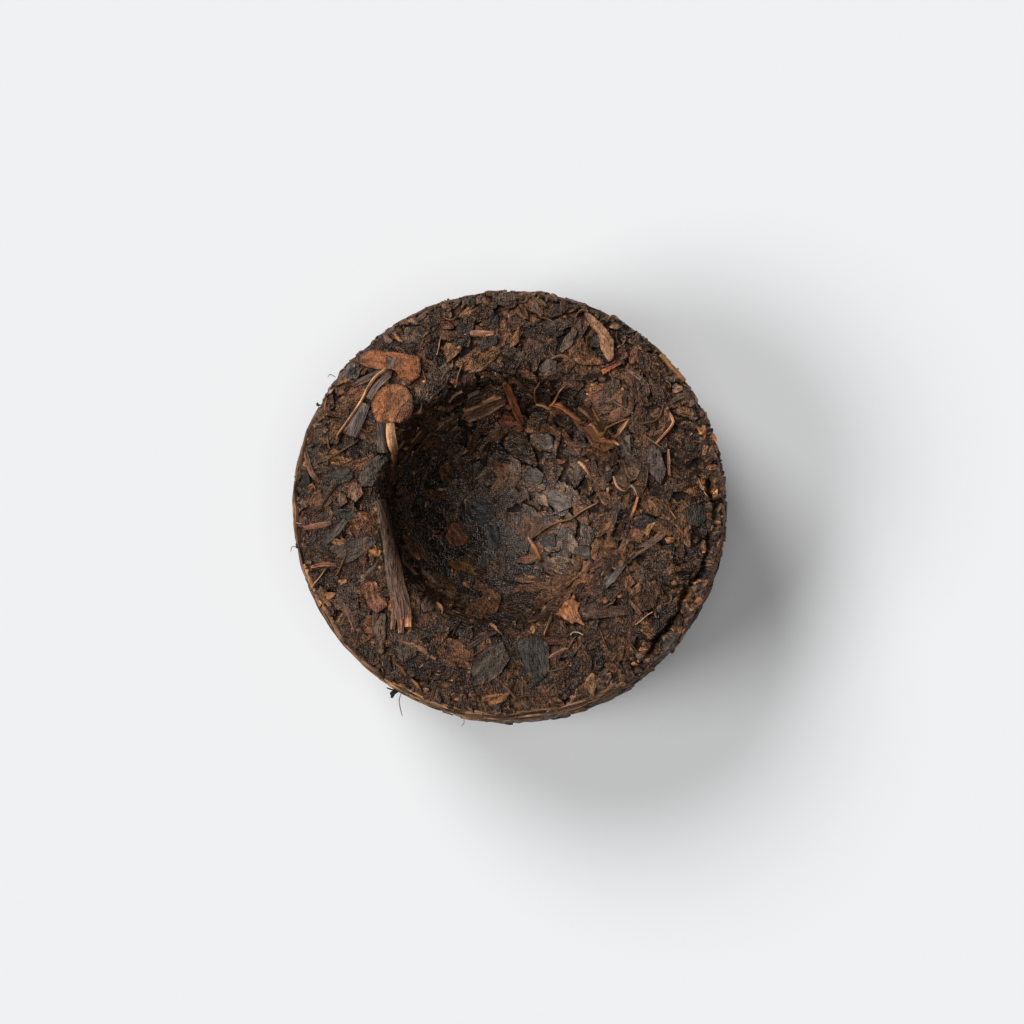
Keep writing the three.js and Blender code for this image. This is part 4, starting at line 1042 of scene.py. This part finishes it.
THIN_ACROSS = np.array([-1, -0.7, 0, 0.7, 1])
SHOWN_VEINS = (
    {"width": (0.6, 0.6, 0.6, 0.5, 0.45, 0.35), "lift": 1.0, "thick": 0.3,
     "tints": ("#8a6448", "#b98a62", "#b28560"), "line": ((-22.9, 26.1), (-25.2, 24.2), (-26.4, 22.4),
     (-27.8, 19.8), (-30, 16.4), (-32.7, 12.8))},
    {"width": (0.3, 0.35, 0.3), "lift": 0.7, "thick": 0.2, "tints": ("#7a5b45", "#8b6a50"),
     "line": ((-36.5, 7.5), (-33.5, 9), (-28.5, 12))},
    {"width": (0.15, 0.3, 0.3, 0.25), "lift": 0.5, "thick": 0.25,
     "tints": ("#84604a", "#b07a54", "#8a5c3c"), "line": ((6.8, 23.3), (6, 22.2), (5.8, 21), (6, 19.4))},
    {"width": (0.2, 0.35, 0.35, 0.2), "lift": 0.5, "thick": 0.2,
     "tints": ("#c89468", "#b0784c", "#8a5834"), "line": ((6, 19), (7.4, 18.7), (8.6, 18.2),
     (9.4, 18.4))},
    {"width": (0.2, 0.35, 0.45, 0.5, 0.4), "lift": 0.6, "thick": 0.3,
     "tints": ("#c08e66", "#c48a5a", "#a06238"), "line": ((11.9, 22.4), (10.8, 21.6), (10.1, 20.2),
     (9.4, 19.2), (8.8, 18.9))},
    {"width": (0.5, 0.7, 0.6, 0.5, 0.3), "lift": 0.6, "thick": 0.3,
     "tints": ("#b0703e", "#96603a", "#805030"), "line": ((9.2, 19), (10.8, 18.7), (12.2, 17.8),
     (13.2, 17), (15, 15.6))},
    {"width": (0.2, 0.35, 0.35, 0.2), "lift": 0.6, "thick": 0.2,
     "tints": ("#74482e", "#a86c44", "#b07a52"), "line": ((15.6, 14.4), (17.6, 13.4), (19.6, 12.9),
     (21, 12), (22.3, 10.8))},
    {"width": (0.2, 0.4, 0.35, 0.2), "lift": 0.6, "thick": 0.2,
     "tints": ("#a8704a", "#b07a50", "#94643f"), "line": ((16.6, 15), (18.4, 14.3), (20.6, 14.6),
     (23.6, 15.5))},
    {"width": (0.2, 0.7, 0.7, 0.3), "lift": 0.5, "thick": 0.2, "tints": ("#8a5c40", "#96684a", "#a87852"),
     "line": ((21.4, 12.2), (22.2, 13), (23, 14.2), (24, 15.6))},
    {"width": (0.4, 0.5, 0.4), "lift": 0.8, "thick": 0.3, "tints": ("#8a6448", "#b87e5a", "#b07a58"),
     "line": ((31.5, 16.5), (32, 15.5), (32, 14), (29, 10.5))},
    {"width": (0.4, 0.5, 0.3), "lift": 0.6, "thick": 0.3, "tints": ("#a87a5a", "#96694c"),
     "line": ((14.4, 7.6), (15.6, 6.4), (16.6, 5))},
    {"width": (0.2, 0.3, 0.2), "lift": 0.5, "thick": 0.2, "tints": ("#84644c", "#a07a5a"),
     "line": ((20.4, 6.4), (21, 4.4), (22.6, 3), (24.4, 2.6))},
    {"width": (0.15, 0.25, 0.15), "lift": 0.4, "thick": 0.2, "tints": ("#a8917e", "#96765f"),
     "line": ((24.4, 3), (25, 2), (25.6, 0.6))},
    {"width": (0.3, 0.5, 0.4), "lift": 0.5, "thick": 0.3, "tints": ("#b0744c", "#a86c44", "#8a5836"),
     "line": ((25.8, 0.5), (25.2, -1.5), (24.6, -3.6))},
    {"width": (0.5, 0.7, 0.5), "lift": 0.6, "thick": 0.3, "tints": ("#a87646", "#84593a"),
     "line": ((29.5, 27.5), (31, 26), (32.5, 24.5), (34, 22.5))},
    {"width": (0.4, 0.9, 0.7), "lift": 0.7, "thick": 0.5, "tints": ("#d0b090", "#b88052", "#8d5832"),
     "line": ((4.6, -7.4), (5.8, -9.4), (7.1, -12))},
    {"width": (0.25, 0.4, 0.4, 0.25), "lift": 0.7, "thick": 0.35,
     "tints": ("#84644c", "#6e5038", "#84664c"), "line": ((5.2, -7.6), (7.6, -5.8), (10.4, -4.3),
     (13, -3.7), (15.2, -2.2), (17.8, -0.8))},
    {"width": (0.25, 0.35, 0.25), "lift": 0.7, "thick": 0.3, "tints": ("#cdb7a4", "#a0806a", "#c8b4a4"),
     "line": ((12.5, -26), (13, -25.5), (14, -25.5), (15, -26))},
    {"width": (0.3, 0.4, 0.3), "lift": 0.7, "thick": 0.3, "tints": ("#b88c68", "#a87a58"),
     "line": ((7.5, -26), (8.5, -24), (9, -22.5))},
    {"width": (0.2, 0.35, 0.25), "lift": 0.6, "thick": 0.3, "tints": ("#4f453c", "#5c5146"),
     "line": ((-17, -12), (-16.4, -13.6), (-15, -15.4), (-13.6, -16))},
    {"width": (0.2, 0.35, 0.25), "lift": 0.6, "thick": 0.3, "tints": ("#846550", "#9a7860"),
     "line": ((-20.8, -8.6), (-20.2, -11.6), (-18.4, -13.6), (-17.6, -14.5))},
)
VEINS = {"count": 420, "length": (1.5, 6.0), "width": (0.14, 0.3), "lift": (0.35, 0.7), "thick": (0.06, 0.16),
         "bow": 0.5, "steps": 12}
VEIN_REACH = 10  # few of them lie further down the hollow than this
VEIN_TINTS = ("#6b4d3a", "#7d5b42", "#5b4436", "#84613f", "#4f3c30", "#94704f")
arc, angle = spread_spots(VEINS["count"], high=LIP_ARC + VEIN_REACH)
vein_part = scattered_strips(VEINS, arc, angle, draw.uniform(0, math.pi, arc.size), THIN_ACROSS)

# Bare stem wood is dull and dry, with fine straight grain
bare_wood = tea_finish("bare_stem_wood", roughness=0.6, shine=0.3, wrinkle=1.2, stretch=0.15, relief=0.08,
                       furrow_painted_shade=0.5, fray_and_highlight=0.3)
tea_piece("twigs_and_veins", [*shown_strips(SHOWN_VEINS), tinted(vein_part, VEIN_TINTS)], bare_wood)

# The edge layers
# Round the wall the leaves lie on edge in thin layers, like pages, which show as fine lines along the rim.
# They are torn leaf, brown to tan, pressed against the cloth, with dark gaps between the layers, partly
# painted shade.

LAYERS = {"count": 300, "length": (7, 22), "width": (0.6, 1.8), "lift": (0.0, 0.4), "thick": (0.03, 0.12),
          "bow": 0.3, "steps": 20}
LAYER_SWING = 0.05
LAYER_TINTS = ("#4d382b", "#573f2e", "#3d2c21", "#654a36", "#33261d", "#6e523c")
arc, angle = spread_spots(LAYERS["count"], *WALL_ARCS)
layer_part = scattered_strips(LAYERS, arc, angle, draw.normal(0, LAYER_SWING, arc.size), THIN_ACROSS)

# At the left front the shoulder is worn back and shows the layers from above
SHOULDER = {"count": 240, "length": (6, 16), "width": (0.2, 0.42), "lift": (0.2, 0.6), "thick": (0.05, 0.2),
            "bow": 0.2, "steps": 20}
SHOULDER_SWING = 0.03
SHOULDER_SIDE = math.radians(232)
SHOULDER_SPREAD = 0.4  # of a half turn to each side
SHOULDER_BELOW, SHOULDER_ABOVE = 3.6, 1.0
SHOULDER_TINTS = ("#7d5b43", "#8d684b", "#5b4232", "#a07650", "#3a2a20", "#6b4f3b")
arc, angle = spread_spots(SHOULDER["count"], WALL_ARCS[1] - SHOULDER_BELOW, WALL_ARCS[1] + SHOULDER_ABOVE)
angle = SHOULDER_SIDE + SHOULDER_SPREAD * np.arctan2(np.sin(angle), np.cos(angle))
shoulder_part = scattered_strips(SHOULDER, arc, angle, draw.normal(0, SHOULDER_SWING, arc.size), THIN_ACROSS)

# Leaf on edge shows only its torn, dry side, with dark lines of painted shade along the gaps
leaf_on_edge = tea_finish("leaf_on_edge", roughness=0.6, shine=0.3, wrinkle=0.9, stretch=0.08, relief=0.2,
                          furrow_painted_shade=0.2, fray_and_highlight=0.5)
edge_parts = [tinted(layer_part, LAYER_TINTS), tinted(shoulder_part, SHOULDER_TINTS)]
tea_piece("edge_layers", edge_parts, leaf_on_edge)

# The crumbs
# Broken bits of leaf no longer than rice, which fell off the leaves as they were rolled and piled.
# They lie all over the cake and fill the gaps between the larger pieces, where the press fixed them.

CRUMB_COUNT = 800
CRUMB_LENGTHS = (0.5, 1.3)
CRUMB_SLIM = (1, 1.8)
CRUMB_LIFTS = (0.05, 0.5)
CRUMB_GRID = (3, 3)
CRUMB_CRUMPLE = 0.1
CRUMB_TINTS = ("#5b4435", "#6b4f3d", "#483529", "#7d5a42", "#94683f", "#3d2f27")
arc, angle = spread_spots(CRUMB_COUNT)
crumb_length = draw.uniform(*CRUMB_LENGTHS, CRUMB_COUNT)
crumb_shapes = leaf_shapes(torn_outline, crumb_length, crumb_length / draw.uniform(*CRUMB_SLIM, CRUMB_COUNT),
                           draw.uniform(*CRUMB_LIFTS, CRUMB_COUNT), CRUMB_GRID, CRUMB_CRUMPLE)
crumb_part = laid(crumb_shapes, arc, angle, draw.uniform(0, math.pi, CRUMB_COUNT))

# Crumbs are broken leaf on every side, so they are dull, with no dark edge
leaf_crumbs = tea_finish("leaf_crumbs", roughness=0.6, shine=0.35, wrinkle=1.0, stretch=0.6, relief=0.15,
                         furrow_painted_shade=0.3, fray_and_highlight=0.4, border=1.0)
tea_piece("crumbs", [tinted(crumb_part, CRUMB_TINTS)], leaf_crumbs)

# The broken rim
# Round the shoulder the leaf has flaked, and most at the right, where the edge crumbles along the crack.
# The flakes are small torn leaf standing a little proud, with golden fresh breaks among the brown.

RIM_COUNT = 760
RIM_LENGTHS = (0.8, 2.8)
RIM_SLIM = (1, 2.2)
RIM_LIFTS = (0.1, 0.5)
RIM_GRID = (5, 4)
RIM_CRUMPLE = 0.22
RIM_BELOW, RIM_ABOVE = 4.5, 0.8  # along the section from the crack
BROKEN_SIDE = math.radians(-18)
BROKEN_REACH = 0.75  # radians to each side of it, where one flake in three is moved to
ONE_IN = 3
BROKEN_FROM = 0.75  # cosine of the angle from it within which the edge is broken
BROKEN_LIFT = 0.3
GOLDEN_SHARE = 0.5
CLEAR_OF_CRACK = 0.1  # flakes lie only where the crack has less than this share of its depth
RIM_TINTS = ("#4d3b2f", "#5b4435", "#3d2f27", "#6b4f3d")
GOLD_TINTS = ("#825738", "#986540", "#5b3f2e", "#a8734a", "#3d2d24")
arc, angle = spread_spots(RIM_COUNT, CRACK_ARC - RIM_BELOW, CRACK_ARC + RIM_ABOVE)
moved = BROKEN_SIDE + draw.uniform(-BROKEN_REACH, BROKEN_REACH, RIM_COUNT)
angle = np.where(np.arange(RIM_COUNT) % ONE_IN == 0, moved, angle)
broken = np.cos(angle - BROKEN_SIDE) > BROKEN_FROM
rim_length = draw.uniform(*RIM_LENGTHS, RIM_COUNT)
rim_shapes = leaf_shapes(torn_outline, rim_length, rim_length / draw.uniform(*RIM_SLIM, RIM_COUNT),
                         draw.uniform(*RIM_LIFTS, RIM_COUNT) + BROKEN_LIFT * broken, RIM_GRID, RIM_CRUMPLE)
rim_part = laid(rim_shapes, arc, angle, draw.uniform(0, math.pi, RIM_COUNT))
golden = broken & (draw.uniform(size=RIM_COUNT) < GOLDEN_SHARE)
rim_tints = np.where(golden[:, None], uneven_tints(GOLD_TINTS, RIM_COUNT), uneven_tints(RIM_TINTS, RIM_COUNT))
beside_crack = np.flatnonzero(crack(arc, angle) < CLEAR_OF_CRACK * CRACK_DEPTH)

# Freshly broken leaf is rough and dry, paler on the break and partly painted highlight, with deep dark gaps
# partly painted shade
broken_leaf = tea_finish("broken_rim_leaf", roughness=0.58, shine=0.35, wrinkle=1.1, stretch=0.6, relief=0.2,
                         furrow_painted_shade=0.2, fray_and_highlight=0.6, border=1.0)
tea_piece("rim_flakes", [pick(rim_part, beside_crack, rim_tints[beside_crack])], broken_leaf)

# The hairs and sprigs
# A few loose fibres and curled black bits of leaf hang on to the wall and stick out past the outline.
# They are the same stem wood and leaf as the rest, held at one end by the layers that they come out of.

HAIRS = (
    {"thick": 0.2, "tint": "#7d5b4c",
     "line": ((-20, -35.5, 31), (-21, -37.5, 30.5), (-21, -39, 30), (-20.5, -41, 30))},
    {"thick": 0.16, "tint": "#a8806c", "line": ((-9, -40, 30), (-8.5, -42, 30), (-9, -43, 30))},
    {"thick": 0.3, "tint": "#1d1a18", "line": ((-20.5, -36, 31), (-22, -36, 31.5), (-23.5, -35.5, 31))},
    {"thick": 0.75, "tint": "#181614", "line": ((-21, -36, 31), (-22, -36.5, 31), (-22.5, -37.5, 31))},
    {"thick": 0.5, "tint": "#171513", "line": ((-21.5, -36, 31), (-22.5, -36.5, 31), (-22.5, -37, 31))},
    {"thick": 0.25, "tint": "#3a2b22", "line": ((-34.5, 19.5, 33), (-35.5, 19.5, 33.5), (-37, 19.5, 33.5))},
    {"thick": 0.5, "tint": "#2a211b", "line": ((-36.5, 19.5, 33.5), (-37, 19.5, 33.5), (-37, 20, 33.5))},
    {"thick": 0.16, "tint": "#5b4436", "line": ((-33.5, 25, 33), (-34.5, 25.5, 33.5), (-35, 25, 33.5))},
    {"thick": 0.16, "tint": "#8d6a50", "line": ((-40, -8.5, 32), (-42, -8, 31.5), (-42.5, -9, 31))},
)
HAIR_STEPS = 16
HAIR_SIDES = 6
HAIR_TAPER = 0.7


def round_hair(line, thick):
    """A part of one round hair along a line, thinner at its ends."""
    middle = smooth_line(line, HAIR_STEPS)
    way = np.gradient(middle, axis=0)
    way /= np.linalg.norm(way, axis=1)[:, None]
    level = np.cross(way, (0, 0, 1))
    level /= np.linalg.norm(level, axis=1)[:, None]
    turn = np.linspace(0, 2 * math.pi, HAIR_SIDES + 1)[:, None]
    radius = thick / 2 * (1 - HAIR_TAPER * np.abs(np.linspace(-1, 1, HAIR_STEPS)) ** 3)[:, None, None]
    ring = np.cos(turn) * level[:, None] + np.sin(turn) * np.cross(level, way)[:, None]
    corners = middle[:, None] + radius * ring
    return {"corners": corners.reshape(1, -1, 3), "quads": grid_quads(HAIR_STEPS, HAIR_SIDES + 1)[:, ::-1],
            "grain": corners, "edge": np.zeros(corners.shape[0] * corners.shape[1])}


hair_parts = [{**round_hair(hair["line"], hair["thick"]), "tint": linear(hair["tint"])} for hair in HAIRS]
tea_piece("hairs", hair_parts, bare_wood)

# The floor, light and camera
# A plain white sheet of matt paper, lit softly by two windows at the left and behind and by a pale ceiling.
# The cake is seen from nearly straight above, from the front right.

FLOOR_COLOUR = "#f3f4f5"
FLOOR_ROUGHNESS = 0.9
FLOOR_REACH = 3.0
floor_mesh = bpy.data.meshes.new("floor")
floor_mesh.from_pydata([(-FLOOR_REACH, -FLOOR_REACH, 0), (FLOOR_REACH, -FLOOR_REACH, 0),
                        (FLOOR_REACH, FLOOR_REACH, 0), (-FLOOR_REACH, FLOOR_REACH, 0)], [], [(0, 1, 2, 3)])

# Matt paper has no shine, so only the shadow shows on it
floor_paper = bpy.data.materials.new("matt_white_paper")
floor_paper.use_nodes = True
floor_shader = floor_paper.node_tree.nodes["Principled BSDF"]
floor_shader.inputs["Base Color"].default_value = (*linear(FLOOR_COLOUR), 1)
floor_shader.inputs["Roughness"].default_value = FLOOR_ROUGHNESS
floor_mesh.materials.append(floor_paper)
floor = bpy.data.objects.new("floor", floor_mesh)
bpy.context.scene.collection.objects.link(floor)

SOFT_LIGHTS = {
    "window_left": {"azimuth": 196, "height": 44, "spread": 30, "strength": 1.5},
    "window_back": {"azimuth": 129, "height": 44, "spread": 30, "strength": 1.72},
    "ceiling": {"azimuth": 308, "height": 77, "spread": 34, "strength": 0.7},
}
for name, light in SOFT_LIGHTS.items():
    azimuth, height = math.radians(light["azimuth"]), math.radians(light["height"])
    lamp_data = bpy.data.lights.new(name, "SUN")
    lamp_data.energy = light["strength"]
    lamp_data.angle = math.radians(light["spread"])
    lamp = bpy.data.objects.new(name, lamp_data)
    level = math.cos(height)
    towards = Vector((math.cos(azimuth) * level, math.sin(azimuth) * level, math.sin(height)))
    lamp.rotation_euler = towards.to_track_quat("Z", "Y").to_euler()
    bpy.context.scene.collection.objects.link(lamp)

FILL_STRENGTH = 0.04
world = bpy.data.worlds.new("studio")
world.use_nodes = True
world.node_tree.nodes["Background"].inputs["Color"].default_value = (1, 1, 1, 1)
world.node_tree.nodes["Background"].inputs["Strength"].default_value = FILL_STRENGTH
bpy.context.scene.world = world
bpy.context.scene.view_settings.view_transform = "Standard"

FRAME_WIDTH = 196.4  # mm that the picture takes in at the rim's height
SENSOR = 36
back = Vector(EYE_WAY)
right = Vector((0, 1, 0)).cross(back).normalized()
upright = back.cross(right)
camera_data = bpy.data.cameras.new("camera")
camera_data.sensor_width = SENSOR
camera_data.lens = SENSOR * EYE_DISTANCE / FRAME_WIDTH
camera = bpy.data.objects.new("camera", camera_data)
camera.matrix_world = Matrix.Translation(Vector((LOOKED_AT + EYE_DISTANCE * EYE_WAY) * MM)) @ Matrix(
    (right, upright, back)).transposed().to_4x4()
bpy.context.scene.collection.objects.link(camera)
bpy.context.scene.camera = camera
